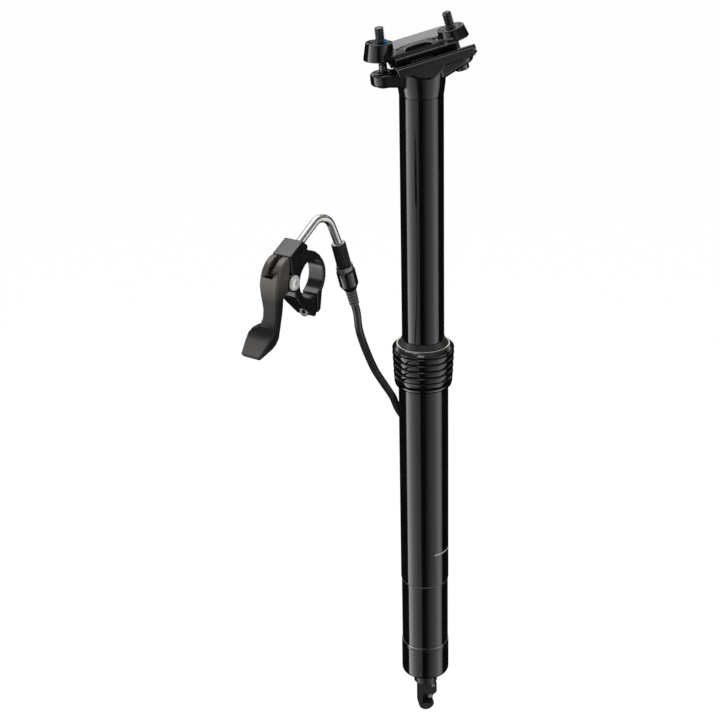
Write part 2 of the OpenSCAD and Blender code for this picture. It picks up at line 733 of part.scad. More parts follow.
module upper_cradle() color([0.08, 0.08, 0.09]) difference() {
    union() {
        tilted() yz_plate([
            [-upper_y + 1, lip], [-upper_y, upper_rim - upper_edge], [-upper_y, upper_rim],
            [-dish_y, dish_edge], [dish_y, dish_edge],
            [upper_y, upper_rim], [upper_y, upper_rim - upper_edge], [upper_y - 1, lip]
        ], -upper_len / 2, upper_len / 2);
        tilted() block([-upper_len / 2 - nose[0], -nose[1], lip], [-upper_len / 2 + cut, nose[1], dish_edge]);
        translate([ear_x, 0, axis_z + ear_z]) ear(ear_h);
        rear_axis() translate([0, 0, ear_rear[0]]) ear(ear_rear[1]);
    }
    tilted() {
        rail_grooves(-upper_len / 2, upper_len / 2);
        stadium(dish_margin[0] - upper_len / 2, upper_len / 2 - dish_margin[1], dish_y,
                dish_floor, upper_rim + cut);
        stadium(window_margin[0] - upper_len / 2, upper_len / 2 - window_margin[1], window_y,
                -cut, dish_floor + cut);
        block([0, -ear_d, -seat_r], [2 * lower_rear, ear_d, lip]);
    }
    front_axis() rod(nut_r, nut_front - nut_h, nut_front + nut_sink);
    rear_axis() rod(nut_r, nut_rear - nut_h, nut_rear + nut_sink);
    front_axis() rod(bolt_r + bolt_room, -hole_foot[0], front_up);
    rear_axis() rod(bolt_r + bolt_room, -hole_foot[1], rear_up);
}

module barrel_nuts() color([0.12, 0.12, 0.13]) {
    front_axis() ring(nut_r, bolt_r + bolt_room, nut_front - nut_h, nut_front);
    rear_axis() ring(nut_r, bolt_r + bolt_room, nut_rear - nut_h, nut_rear);
}

// Valve and foot lever

module valve_pin() color([0.75, 0.76, 0.78]) rod(pin_r, pin_foot_z, floor_z + rod_drill - crown_t);

module actuator_lever() color([0.1, 0.1, 0.11]) difference() {
    union() {
        xz_plate([
            [-lift_toe, pin_foot_z - lever_fall[0]], [-lift_toe, pin_foot_z - lever_fall[1]],
            [foot_pivot[0] - foot_pin_d, pin_foot_z - lever_fall[2]],
            [anchor_at[0] - anchor_boss_r, anchor_at[1]], [anchor_at[0] + anchor_boss_r, anchor_at[1]],
            [lever_back, anchor_at[1] + anchor_boss_r], [lever_back, pin_foot_z - lever_fall[1]],
            [lever_back - anchor_r, pin_foot_z - lever_fall[0]]
        ], -foot_lever_t / 2, foot_lever_t / 2);
        y_rod(anchor_at, anchor_boss_r, -foot_lever_t / 2, foot_lever_t / 2);
    }
    y_rod(foot_pivot, foot_pin_d / 2 + run, -foot_lever_t, foot_lever_t);
    y_rod(anchor_at, anchor_r, -foot_lever_t, foot_lever_t);
}

module cable_anchor() color([0.8, 0.8, 0.82])
    y_rod(anchor_at, anchor_r, -anchor_reach, foot_lever_t / 2);

// Remote

module remote() translate(remote_at) rotate([0, 0, remote_turn]) children();

module remote_clamp() color([0.13, 0.12, 0.12]) remote() difference() {
    union() {
        x_rod([0, 0], ring_r, -near_x, near_x);
        yz_plate(clamp_back, -near_x, near_x);
        yz_plate(cable_block, block_far_x, near_x);
        yz_plate(screw_lug, -near_x, near_x);
        x_rod(pivot, ear_boss_r, -near_x, near_x);
    }
    x_rod([0, 0], bar_r, -near_x - cut, near_x + cut);
    yz_plate(fork_slot, tongue_far_x - tongue_play, tongue_near_x + tongue_play);
    x_rod(pivot, tongue_end_r + swing, tongue_far_x - tongue_play, tongue_near_x + tongue_play);
    x_rod(pivot, pivot_r, -near_x - cut, near_x + cut);
    block([-near_x - cut, split_y, -beyond], [near_x + cut, split_y + split_w, 0]);
    y_rod([screw_at[0], screw_at[2]], clamp_screw_d / 2, -beyond, screw_end);
    y_rod([screw_at[0], screw_at[2]], screw_head_r + tongue_play, -beyond, screw_at[1] + screw_head_h);
    aim(noodle_start, noodle_tilt, noodle_turn) rod(noodle_d / 2, -noodle_seat, beyond / 3);
    aim(noodle_start, noodle_tilt, noodle_turn) rod(cable_bore_r, -beyond, beyond / 3);
}

module clamp_screw() color([0.78, 0.78, 0.8]) remote() difference() {
    union() {
        y_rod([screw_at[0], screw_at[2]], clamp_screw_d / 2, screw_at[1], screw_end);
        y_rod([screw_at[0], screw_at[2]], screw_head_r, screw_at[1], screw_at[1] + screw_head_h);
    }
    translate([screw_at[0], screw_at[1] - cut, screw_at[2]]) rotate([-90, 0, 0])
        cylinder(d = screw_hex, h = screw_hex_depth + cut, $fn = 6);
}

module pivot_screw() color([0.8, 0.8, 0.82]) remote() difference() {
    union() {
        x_rod(pivot, pivot_r, -near_x, near_x);
        x_rod(pivot, pivot_head_d / 2, near_x, near_x + pivot_head_h[0]);
        translate([near_x + pivot_head_h[0], pivot[0], pivot[1]]) rotate([0, 90, 0])
            cylinder(r1 = pivot_head_d / 2, r2 = pivot_head_d / 2 - pivot_bevel, h = pivot_head_h[1]);
    }
    translate([near_x, pivot[0], pivot[1]]) rotate([0, 90, 0])
        cylinder(d = pivot_hex, h = pivot_hex_depth, $fn = 6);
}

function unit(v) = v / norm(v);
// Direction of a path at a point
function along(p, i) = unit(p[min(i + 1, len(p) - 1)] - p[max(i - 1, 0)]);
// One ring of a tube about a path's point, kept level by a fixed side direction
function tube_ring(p, i, r, n, side) = let (
    t = along(p, i),
    u = unit(side - (side * t) * t),
    v = cross(t, u)
) [for (k = [0 : n - 1]) p[i] + r * (cos(k * 360 / n) * u + sin(k * 360 / n) * v)];

// A closed tube with triangle faces along a path
module tube(p, r, n, side) {
    m = len(p);
    points = concat([for (i = [0 : m - 1]) each tube_ring(p, i, r, n, side)], [p[0], p[m - 1]]);
    walls = [for (i = [0 : m - 2], k = [0 : n - 1]) let (a = i * n + k, b = i * n + (k + 1) % n)
        each [[a, a + n, b], [b, a + n, b + n]]];
    ends = [for (k = [0 : n - 1]) each [
        [m * n, k, (k + 1) % n],
        [m * n + 1, (m - 1) * n + (k + 1) % n, (m - 1) * n + k]
    ]];
    polyhedron(points, concat(walls, ends));
}

// Unit vector that leans by tilt from +Z towards the direction turn
function heading(tilt, turn) = [sin(tilt) * cos(turn), sin(tilt) * sin(turn), cos(tilt)];
leg_dir = heading(leg_tilt, leg_turn);
noodle_corner = noodle_end - leg_len * leg_dir;
first_leg = noodle_corner - noodle_start;
first_dir = unit(first_leg);
noodle_tilt = acos(first_dir[2]);
noodle_turn = atan2(first_dir[1], first_dir[0]);
bend = acos(leg_dir * first_dir);
bend_start = noodle_start + (norm(first_leg) - noodle_r * tan(bend / 2)) * first_dir;
bend_in = unit(leg_dir - (leg_dir * first_dir) * first_dir);
bend_steps = 14;

// The cable tube's path: a leg out of the block, a bend and a leg into the adjuster, with spare length
// at its ends
function noodle_points(spare) = concat(
    [noodle_start - (noodle_seat + spare) * first_dir],
    [for (k = [0 : bend_steps]) let (t = k * bend / bend_steps)
        bend_start + noodle_r * ((1 - cos(t)) * bend_in + sin(t) * first_dir)],
    [noodle_end + (noodle_sink + spare) * leg_dir]
);

module cable_noodle() color([0.8, 0.79, 0.76]) remote() difference() {
    tube(noodle_points(0), noodle_d / 2, noodle_sides[0], cross(first_dir, leg_dir));
    tube(noodle_points(cut), noodle_bore / 2, noodle_sides[1], cross(first_dir, leg_dir));
}

// Outline of the lever from the side, front edge first
lever_side = [
    [-19.2, 18.7], [-22.6, 18], [-25.7, 16.3], [-28.6, 13.4], [-30.6, 9.7], [-31.9, 4.5], [-32.4, -1],
    [-32.8, -6.5], [-33.6, -12], [-35.3, -17], [-38, -20.4], [-42, -23.4], [-50.3, -28.2],
    [-48.6, -30.2], [-42.4, -28.9], [-37.5, -27.7], [-34.1, -26.2], [-31.4, -23.4], [-30, -19.1],
    [-28.8, -15], [-27.6, -11.3], [-26.6, -7], [-26, -3.2], [-23, -1], [pivot[0], pivot[1] - tongue_end_r],
    [pivot[0], pivot[1] + tongue_end_r], [-20.3, 8.8], [-19, 11.6], [-19.2, 15]
];
// Outline of the lever from the front, as [X, Z]
lever_front = [
    [near_x, 22], [block_far_x, 22], [block_far_x, 5], [near_x - stem_w - 1.6, -1], [near_x - stem_w, -8],
    [near_x - stem_w, -13], [near_x - stem_w - 1, -16.4], [near_x - pad_w + 1.4, -18.4], [near_x - pad_w, -20.8],
    [near_x - pad_w + 0.8, -23.6], [near_x - pad_w + 5.4, -31], [near_x - 0.6, -31], [near_x, -27]
];

module thumb_lever() color([0.27, 0.24, 0.22]) remote() difference() {
    intersection() {
        yz_plate(lever_side, near_x - pad_w - cut, near_x + cut);
        xz_plate(lever_front, -beyond, 0);
    }
    for (x = [[-beyond, tongue_far_x], [tongue_near_x, beyond]]) {
        x_rod(pivot, ear_boss_r + swing, x[0], x[1]);
        yz_plate(lever_cheek, x[0], x[1]);
    }
    x_rod(pivot, pivot_r + run + bush_t, -beyond, beyond);
    yz_plate(cable_slot, slot_x - slot_w / 2, slot_x + slot_w / 2);
    x_rod(barrel_at, barrel_r + run, -beyond, barrel_face);
}

module pivot_bush() color([0.72, 0.58, 0.3]) remote() difference() {
    x_rod(pivot, pivot_r + run + bush_t, tongue_far_x, tongue_near_x);
    x_rod(pivot, pivot_r + run, tongue_far_x - cut, tongue_near_x + cut);
}

module lever_cable_barrel() color([0.6, 0.6, 0.62]) remote() difference() {
    union() {
        x_rod(barrel_at, barrel_r, block_far_x + 0.6, barrel_face);
        translate([slot_x, barrel_at[0], barrel_at[1]]) rotate([cable_stub[2], 0, 0])
            rod(cable_stub[0], 0, cable_stub[1]);
    }
    x_rod(barrel_at, 1, barrel_face - 1, barrel_face + cut);
}

// Adjuster, drawn along Z from the top of its barrel
module adjuster() remote() aim(noodle_end, adjuster_tilt, adjuster_turn) children();

module adjuster_barrel() color([0.08, 0.08, 0.09]) adjuster() difference() {
    union() {
        rod(barrel_d / 2 - barrel_bevel[0], 0, barrel_bevel[1]);
        rod(barrel_d / 2, barrel_bevel[1], barrel_len - swing);
        rod(spigot_r, 0, body_z + spigot_out);
    }
    for (k = [0 : flute_count - 1]) rotate([0, 0, k * 360 / flute_count])
        translate([barrel_d / 2 + flute_out, 0, flute_top]) cylinder(r = flute_r, h = barrel_len, $fn = 24);
    translate([0, 0, -cut]) cylinder(r1 = noodle_d / 2 + mouth_flare[0], r2 = noodle_d / 2 + mouth_flare[1],
                                     h = noodle_sink + mouth_flare[2] + cut);
    rod(adjuster_bore_r, 0, beyond);
}

module adjuster_ring() color([0.8, 0.8, 0.82]) adjuster()
    ring(band_d / 2, spigot_r + run, band_z, body_z);

module adjuster_body() color([0.07, 0.07, 0.08]) adjuster() difference() {
    union() {
        translate([0, 0, body_z]) cylinder(r1 = body_d / 2 - body_bevel[0], r2 = body_d / 2, h = body_bevel[1]);
        rod(body_d / 2, body_z + body_bevel[1], boot_z - body_nose[1]);
        translate([0, 0, boot_z - body_nose[1]])
            cylinder(r1 = body_d / 2, r2 = body_d / 2 - body_nose[0], h = body_nose[1]);
    }
    rod(spigot_r + run, body_z - cut, body_z + spigot_out + swing);
    rod(housing_r, body_z + spigot_out, boot_z + cut);
}

module cable_boot() color([0.25, 0.25, 0.26]) adjuster() rotate_extrude() polygon(concat(
    [[housing_r, boot_z]],
    [for (k = [0 : rib_count - 1], s = [0 : 3])
        [boot_d / 2 - (s == 0 || s == 3 ? rib_depth : 0) - rib_taper * k,
         boot_z + (k + [0, 0.2, 0.7, 0.9][s]) * boot_len / rib_count]],
    [[housing_r, boot_z + boot_len]]
));

// Cable housing

// A point in the part's frame on the adjuster's axis, at a distance from the top of its barrel
function on_adjuster(z) = let (p = noodle_end + z * heading(adjuster_tilt, adjuster_turn)) remote_at
    + [p[0] * cos(remote_turn) - p[1] * sin(remote_turn),
       p[0] * sin(remote_turn) + p[1] * cos(remote_turn), p[2]];
lead_points = concat(
    [
        on_adjuster(body_z + 7), on_adjuster(boot_z + 3), on_adjuster(boot_z + boot_len),
        on_adjuster(boot_z + boot_len + 6)
    ],
    lead_middle,
    [hank_point(0) + [0, 0, 8], hank_point(0)]
);

module housing_lead() color([0.09, 0.09, 0.1]) tube(lead_points, housing_r, lead_sides, [1, 0, 0]);

// One turn of the hank as [behind, up], for a share of a turn from 0 to 1, starting down the rear run
function waist(s) = hank_waist * pow(sin(180 * s), 2);
function hank_flat(t) = let (s = t * turn_len)
    s < hank_run ? [hank_fold_r - waist(s / hank_run), -s]
    : s < hank_run + fold_len ? let (a = (s - hank_run) / fold_len * 180)
        [hank_fold_r * cos(a), -hank_run - hank_fold_r * sin(a)]
    : s < 2 * hank_run + fold_len ? let (q = (s - hank_run - fold_len) / hank_run)
        [-hank_fold_r + waist(q), -hank_run * (1 - q)]
    : let (a = (s - 2 * hank_run - fold_len) / fold_len * 180) [-hank_fold_r * cos(a), hank_fold_r * sin(a)];
// The climb to the next turn is made along the rising run
function hank_shift(t) = let (q = (t * turn_len - hank_run - fold_len) / hank_run)
    q <= 0 ? 0 : q >= 1 ? 1 : q * q * (3 - 2 * q);
function hank_point(t) = let (k = floor(t), f = hank_flat(t - k))
    (hank_first + hank_step * (k + hank_shift(t - k))) * across
    + (hank_at[1] + f[0]) * behind + [0, 0, hank_top_z + f[1]];
hank_end = hank_turns + hank_run / turn_len;
hank_count = ceil(hank_end * hank_rings);
hank_points = [for (i = [0 : hank_count]) hank_point(min(i * hank_end / hank_count, hank_end - 0.0001))];
// Least distance between points that are more than half a turn apart along the housing, less one diameter
hank_gap = min([for (i = [0 : hank_count], j = [i + 12 : 1 : hank_count])
    norm(hank_points[i] - hank_points[j])]) - housing_d;
echo(hank_gap = hank_gap, housing_length = norm_sum(hank_points) + norm_sum(lead_points));
function norm_sum(p) = [for (i = [1 : len(p) - 1]) norm(p[i] - p[i - 1])] * [for (i = [1 : len(p) - 1]) 1];

module housing_hank() color([0.09, 0.09, 0.1]) tube(hank_points, housing_r, hank_sides, across);

// Places children at the middle of the hank, with X across its turns and Y away from the post
hank_mid = hank_first + hank_step * hank_turns / 2;
module at_hank(z) translate(hank_mid * across + hank_at[1] * behind + [0, 0, z])
    rotate([0, 0, -hank_turn]) children();

// A round-cornered frame round the hank's waist
module tie_outline(spare, h) {
    x = hank_step * hank_turns / 2 + housing_r + spare;
    y = hank_fold_r - hank_waist + housing_r + spare;
    for (sx = [-1, 1], sy = [-1, 1]) translate([sx * (x - tie_round), sy * (y - tie_round), 0])
        rod(tie_round, -h / 2, h / 2);
    block([-x, -y + tie_round, -h / 2], [x, y - tie_round, h / 2]);
    block([-x + tie_round, -y, -h / 2], [x - tie_round, y, h / 2]);
}

module hank_tie() color([0.12, 0.12, 0.13]) at_hank(hank_top_z - hank_run / 2) difference() {
    tie_outline(tie_t, tie_h);
    tie_outline(tie_room, tie_h + cut);
}

tail = hank_points[hank_count];
module end_ferrule() color([0.7, 0.7, 0.72]) translate(tail) rotate([180, 0, 0]) {
    rod(ferrule_r, 0, ferrule_len - ferrule_crimp[1]);
    rod(ferrule_r - ferrule_crimp[0], ferrule_len - ferrule_crimp[1], ferrule_len);
}

module inner_cable() color([0.75, 0.75, 0.77]) translate(tail) rotate([180, 0, 0])
    rod(inner_r, ferrule_len, ferrule_len + inner_len);

module cable_nipple() color([0.75, 0.75, 0.77]) translate(tail) rotate([180, 0, 0])
    rod(nipple_r, ferrule_len + inner_len, ferrule_len + inner_len + nipple_len);

outer_tube();
collar();
wiper_seal();
accent_ring();
upper_bushing();
bottom_cap();
cartridge_rod();
cartridge_piston();
actuator_bracket();
actuator_pivot_pin();
stanchion();
post_head();
lower_bushing();
alignment_keys();
cartridge_cylinder();
cartridge_gland();
clamp_bolts();
bolt_washers();
lower_cradle();
upper_cradle();
barrel_nuts();
valve_pin();
actuator_lever();
cable_anchor();
remote_clamp();
clamp_screw();
pivot_screw();
cable_noodle();
thumb_lever();
pivot_bush();
lever_cable_barrel();
adjuster_barrel();
adjuster_ring();
adjuster_body();
cable_boot();
housing_lead();
housing_hank();
hank_tie();
end_ferrule();
inner_cable();
cable_nipple();
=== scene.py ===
"""Dropper seatpost with its handlebar remote, dressed for a studio picture."""

from __future__ import annotations

import logging
import math
from dataclasses import dataclass
from enum import Enum

import bpy
from mathutils import Matrix, Quaternion, Vector

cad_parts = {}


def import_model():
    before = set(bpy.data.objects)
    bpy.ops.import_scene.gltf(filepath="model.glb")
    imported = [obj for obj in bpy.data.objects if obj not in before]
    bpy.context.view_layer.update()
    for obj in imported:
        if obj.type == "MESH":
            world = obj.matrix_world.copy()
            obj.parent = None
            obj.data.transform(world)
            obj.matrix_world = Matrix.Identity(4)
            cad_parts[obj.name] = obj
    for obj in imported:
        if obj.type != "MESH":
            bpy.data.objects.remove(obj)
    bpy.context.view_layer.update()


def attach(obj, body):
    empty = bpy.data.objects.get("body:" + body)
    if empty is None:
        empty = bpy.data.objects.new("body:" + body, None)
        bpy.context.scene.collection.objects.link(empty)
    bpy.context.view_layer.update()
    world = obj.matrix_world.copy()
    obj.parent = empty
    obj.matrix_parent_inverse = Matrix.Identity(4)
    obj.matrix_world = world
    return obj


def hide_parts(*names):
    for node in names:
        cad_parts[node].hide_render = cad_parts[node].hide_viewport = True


logging.basicConfig(level=logging.INFO, format="%(message)s")
log = logging.getLogger("seatpost")

MM = 0.001
WELD = 0.001 * MM
Point = tuple[float, float, float]
Pair = tuple[float, float]
Band = tuple[float, float, float, float]
Profile = tuple[Pair, ...]
Socket = bpy.types.NodeSocket
Tree = bpy.types.NodeTree
Material = bpy.types.Material
Piece = bpy.types.Object


def mm(point: Point | Vector) -> Vector:
    """Turns a point in millimetres into a vector in metres."""
    return Vector(point) * MM


def heading(tilt: float, turn: float) -> Vector:
    """Gives the unit vector that leans from +Z by a tilt, towards a turn from +X, in degrees."""
    a, b = math.radians(tilt), math.radians(turn)
    return Vector((math.sin(a) * math.cos(b), math.sin(a) * math.sin(b), math.cos(a)))


# Node graphs


class Graph:
    """Adds and wires nodes in one shader tree."""

    def __init__(self, tree: Tree) -> None:
        """Keeps the tree that the nodes go into."""
        self.tree = tree

    @classmethod
    def blank(cls, owner: Material | bpy.types.World) -> Graph:
        """Starts a graph in a material's or a world's emptied tree."""
        owner.use_nodes = True
        owner.node_tree.nodes.clear()
        return cls(owner.node_tree)

    def node(self, kind: str, inputs: dict | None = None, **settings: object) -> bpy.types.Node:
        """Adds a node, sets its properties and feeds its inputs.

        Args:
            kind: The node's type name.
            inputs: What each named input gets.
            **settings: Property names and values.

        Returns:
            The new node.
        """
        made = self.tree.nodes.new(kind)
        for name, value in settings.items():
            setattr(made, name, value)
        for name, value in (inputs or {}).items():
            self.feed(made.inputs[name], value)
        return made

    def feed(self, socket: Socket, value: object) -> None:
        """Links a socket to an output, or sets its plain value.

        Args:
            socket: The input that gets the value.
            value: An output socket, a number or a tuple.
        """
        if isinstance(value, Socket):
            self.tree.links.new(value, socket)
        else:
            socket.default_value = value

    def math(self, operation: str, *values: object) -> Socket:
        """Adds a Math node on the values and gives its output."""
        return self.node("ShaderNodeMath", dict(enumerate(values)), operation=operation).outputs[0]

    def parts(self, vector: Socket) -> bpy.types.bpy_prop_collection:
        """Gives the outputs that hold a vector's X, Y and Z."""
        return self.node("ShaderNodeSeparateXYZ", {0: vector}).outputs

    def noise(self, vector: object, scale: object, detail: float) -> Socket:
        """Adds a Noise texture and gives its value from 0 to 1."""
        inputs = {"Vector": vector, "Scale": scale, "Detail": detail}
        return self.node("ShaderNodeTexNoise", inputs).outputs["Fac"]

    def spread(self, value: object, low: object, high: object, start: float, end: float) -> Socket:
        """Maps a value, so that start becomes low and end becomes high."""
        inputs = {"Value": value, "From Min": start, "From Max": end, "To Min": low, "To Max": high}
        return self.node("ShaderNodeMapRange", inputs).outputs["Result"]

    def blend(self, share: object, first: object, second: object) -> Socket:
        """Mixes two colours, with the share of the second one."""
        inputs = {"Factor": share, "A": first, "B": second}
        return self.node("ShaderNodeMix", inputs, data_type="RGBA").outputs["Result"]


class Effect(Enum):
    """The surface effects that several finishes share."""

    SKIN = "surface_skin"
    KNURL = "diamond_knurl"
    STRAND = "twisted_strand"


class Effects:
    """Builds each shared effect once, as a node group."""

    groups: dict[Effect, Tree] = {}
    middle = (0.3, 0.7)

    @classmethod
    def group(cls, effect: Effect) -> Tree:
        """Gives the effect's node group, built at its first use."""
        if effect not in cls.groups:
            makers = {Effect.SKIN: cls._skin, Effect.KNURL: cls._knurl, Effect.STRAND: cls._strand}
            cls.groups[effect] = makers[effect]()
        return cls.groups[effect]

    @staticmethod
    def _tree(
        effect: Effect, numbers: tuple[str, ...], outputs: tuple[str, ...]
    ) -> tuple[Graph, dict, dict]:
        """Starts a group that reads coordinates and numbers.

        Args:
            effect: The effect that names the group.
            numbers: Names of the numbers that it reads.
            outputs: Names of the values that it puts out.

        Returns:
            The graph, the inputs by name and the outputs by name.
        """
        tree = bpy.data.node_groups.new(effect.value, "ShaderNodeTree")
        tree.interface.new_socket("Vector", in_out="INPUT", socket_type="NodeSocketVector")
        for way, names in (("INPUT", numbers), ("OUTPUT", outputs)):
            for name in names:
                tree.interface.new_socket(name, in_out=way, socket_type="NodeSocketFloat")
        graph = Graph(tree)
        start, end = graph.node("NodeGroupInput"), graph.node("NodeGroupOutput")
        return graph, {s.name: s for s in start.outputs}, {s.name: s for s in end.inputs}

    @staticmethod
    def _polar(graph: Graph, vector: Socket) -> tuple[Socket, Socket]:
        """Gives the share of a turn about Z, and the height."""
        x, y, z = graph.parts(vector)
        return graph.math("DIVIDE", graph.math("ARCTAN2", y, x), 2 * math.pi), z

    @classmethod
    def _skin(cls) -> Tree:
        """Builds fine grain with slow blotches.

        Returns:
            A group that puts out a roughness, a height and a tint mask.
        """
        numbers = ("Grain Scale", "Blotch Scale", "Smooth", "Rough")
        graph, given, wanted = cls._tree(Effect.SKIN, numbers, ("Roughness", "Height", "Tint"))
        share = 0.25
        grain = graph.noise(given["Vector"], given["Grain Scale"], 2.0)
        blotch = graph.noise(given["Vector"], given["Blotch Scale"], 4.0)
        mixed = graph.math("MULTIPLY_ADD", grain, share, graph.math("MULTIPLY", blotch, 1 - share))
        graph.feed(wanted["Roughness"], graph.spread(mixed, given["Smooth"], given["Rough"], *cls.middle))
        graph.feed(wanted["Height"], grain)
        graph.feed(wanted["Tint"], graph.spread(blotch, 0.0, 1.0, *cls.middle))
        return graph.tree

    @classmethod
    def _knurl(cls) -> Tree:
        """Builds a diamond knurl about the Z axis of its coordinates.

        Returns:
            A group that puts out a height.
        """
        graph, given, wanted = cls._tree(Effect.KNURL, ("Count", "Pitch"), ("Height",))
        turn, z = cls._polar(graph, given["Vector"])
        around, up = graph.math("MULTIPLY", turn, given["Count"]), graph.math("DIVIDE", z, given["Pitch"])
        one = graph.math("PINGPONG", graph.math("ADD", around, up), 0.5)
        other = graph.math("PINGPONG", graph.math("SUBTRACT", around, up), 0.5)
        graph.feed(wanted["Height"], graph.math("MULTIPLY", graph.math("MINIMUM", one, other), 2.0))
        return graph.tree

    @classmethod
    def _strand(cls) -> Tree:
        """Builds wires laid in a helix about the Z axis of their coordinates.

        Returns:
            A group that puts out a height.
        """
        graph, given, wanted = cls._tree(Effect.STRAND, ("Wires", "Lay"), ("Height",))
        turn, z = cls._polar(graph, given["Vector"])
        phase = graph.math("ADD", turn, graph.math("DIVIDE", z, given["Lay"]))
        wave = graph.math("PINGPONG", graph.math("MULTIPLY", phase, given["Wires"]), 0.5)
        graph.feed(wanted["Height"], graph.math("POWER", graph.math("MULTIPLY", wave, 2.0), 0.5))
        return graph.tree


# Finishes


@dataclass(frozen=True)
class Finish:
    """A finish with fine grain and slow blotches in its gloss and colour."""

    name: str
    slot: str
    colour: Point
    worn: Point
    smooth: float
    rough: float
    metallic: float = 0.0
    grain: float = 2400.0
    blotch: float = 60.0
    bump: float = 0.1
    depth: float = 0.01
    ior: float = 1.5

    def material(self) -> Material:
        """Gives the finish's material, built at its first use."""
        return bpy.data.materials.get(self.name) or self._build()

    def _build(self) -> Material:
        """Builds the material.

        Returns:
            The new material.
        """
        made = bpy.data.materials.new(self.name)
        graph = Graph.blank(made)
        place = graph.node("ShaderNodeTexCoord").outputs["Object"]
        numbers = {
            "Vector": place, "Grain Scale": self.grain, "Blotch Scale": self.blotch,
            "Smooth": self.smooth, "Rough": self.rough,
        }
        skin = graph.node("ShaderNodeGroup", numbers, node_tree=Effects.group(Effect.SKIN)).outputs
        tint = graph.blend(skin["Tint"], (*self.colour, 1), (*self.worn, 1))
        height = self._height(graph, place, skin["Height"])
        bump = graph.node(
            "ShaderNodeBump", {"Strength": self.bump, "Distance": self.depth * MM, "Height": height}
        )
        shader = graph.node("ShaderNodeBsdfPrincipled", {
            "Base Color": self._colour(graph, place, tint), "Roughness": skin["Roughness"],
            "Metallic": self.metallic, "IOR": self.ior, "Normal": bump.outputs["Normal"],
        })
        graph.node("ShaderNodeOutputMaterial", {"Surface": shader.outputs["BSDF"]})
        return made

    def _colour(self, graph: Graph, place: Socket, tint: Socket) -> Socket:
        """Gives the base colour; a patterned finish adds to it."""
        return tint

    def _height(self, graph: Graph, place: Socket, grain: Socket) -> Socket:
        """Gives the bump height; a patterned finish adds to it."""
        return grain


@dataclass(frozen=True, kw_only=True)
class AxisFinish(Finish):
    """A finish with a pattern about an axis."""

    centre: Point
    lean: Point = (0.0, 0.0, 0.0)
    effect: Effect = Effect.KNURL
    count: float
    pitch: float
    grain_share: float = 0.08

    def _height(self, graph: Graph, place: Socket, grain: Socket) -> Socket:
        """Adds the pattern to the grain.

        Args:
            graph: The material's graph.
            place: The object's coordinates.
            grain: The fine grain's height.

        Returns:
            The height.
        """
        inputs = {"Vector": place, "Location": mm(self.centre), "Rotation": self.lean}
        seat = graph.node("ShaderNodeMapping", inputs, vector_type="TEXTURE").outputs["Vector"]
        inputs = {0: seat, 1: self.count, 2: self.pitch * MM}
        pattern = graph.node("ShaderNodeGroup", inputs, node_tree=Effects.group(self.effect))
        return graph.math("MULTIPLY_ADD", grain, self.grain_share, pattern.outputs["Height"])


@dataclass(frozen=True, kw_only=True)
class HighlitEndsFinish(Finish):
    """A finish that pales above one height and below another, as a painted highlight."""

    pale: Point
    above: Pair
    below: Pair

    def _colour(self, graph: Graph, place: Socket, tint: Socket) -> Socket:
        """Blends the colour with the pale one, which paints the highlight.

        Args:
            graph: The material's graph.
            place: The object's coordinates.
            tint: The plain colour.

        Returns:
            The colour.
        """
        z = graph.parts(place)["Z"]
        shares = [graph.spread(z, 0.0, 1.0, a * MM, b * MM) for a, b in (self.above, self.below)]
        return graph.blend(graph.math("MAXIMUM", *shares), tint, (*self.pale, 1))


GLOSS_BLACK = Finish(
    "gloss_black_anodised", "black_anodised", (0.0028, 0.0028, 0.0034), (0.0042, 0.0042, 0.005),
    smooth=0.07, rough=0.11, grain=3200, blotch=25, bump=0.02, depth=0.004, ior=1.72,
)
FORGED_BLACK = Finish(
    "forged_black_anodised", "satin_black", (0.004, 0.004, 0.0045), (0.007, 0.007, 0.0078),
    smooth=0.11, rough=0.16, bump=0.04, depth=0.006, ior=1.78,
)
MACHINED_BLACK = Finish(
    "machined_black_anodised", "satin_black", (0.02, 0.02, 0.022), (0.032, 0.032, 0.035),
    smooth=0.2, rough=0.32, metallic=0.3, grain=3000, blotch=120, ior=1.6,
)
# The thumb lever's finish; it pales over the lever's top and the paddle's lower end, a painted highlight.
BLASTED_GREY_HIGHLIT = HighlitEndsFinish(
    "blasted_grey_painted_highlights", "grey_anodised", (0.014, 0.0129, 0.012), (0.02, 0.0184, 0.017),
    smooth=0.26, rough=0.34, metallic=0.4, grain=3600, blotch=70, bump=0.12,
    pale=(0.115, 0.105, 0.097), above=(104.0, 116.0), below=(84.0, 60.0),
)
BLASTED_DARK = Finish(
    "blasted_dark_anodised", "grey_anodised", (0.008, 0.0077, 0.0074), (0.013, 0.0125, 0.012),
    smooth=0.16, rough=0.24, grain=3600, blotch=70, bump=0.08, depth=0.008, ior=1.6,
)
PLAIN_STEEL = Finish(
    "plain_steel", "steel", (0.6, 0.6, 0.59), (0.68, 0.68, 0.66),
    smooth=0.22, rough=0.34, metallic=1.0, grain=2600, blotch=90, bump=0.08, depth=0.008,
)
BLACK_STEEL = Finish(
    "black_oxide_steel", "black_steel", (0.09, 0.096, 0.103), (0.14, 0.148, 0.158),
    smooth=0.18, rough=0.34, metallic=0.9, grain=2600, blotch=200, bump=0.15,
)
TURNED_ALUMINIUM = Finish(
    "turned_aluminium", "bright_aluminium", (0.6, 0.6, 0.62), (0.68, 0.68, 0.7),
    smooth=0.24, rough=0.36, metallic=1.0, depth=0.008,
)
TURNED_BRASS = Finish(
    "turned_brass", "brass", (0.62, 0.44, 0.2), (0.7, 0.52, 0.26),
    smooth=0.22, rough=0.34, metallic=1.0, depth=0.008,
)
BEARING_POLYMER = Finish(
    "bearing_polymer", "bush_polymer", (0.32, 0.26, 0.17), (0.4, 0.33, 0.22),
    smooth=0.42, rough=0.55, grain=2000, blotch=90, bump=0.2, depth=0.02,
)
SEAL_RUBBER = Finish(
    "seal_rubber", "rubber", (0.022, 0.022, 0.025), (0.034, 0.034, 0.038),
    smooth=0.3, rough=0.45, grain=2200, blotch=120, bump=0.2, depth=0.02, ior=1.52,
)
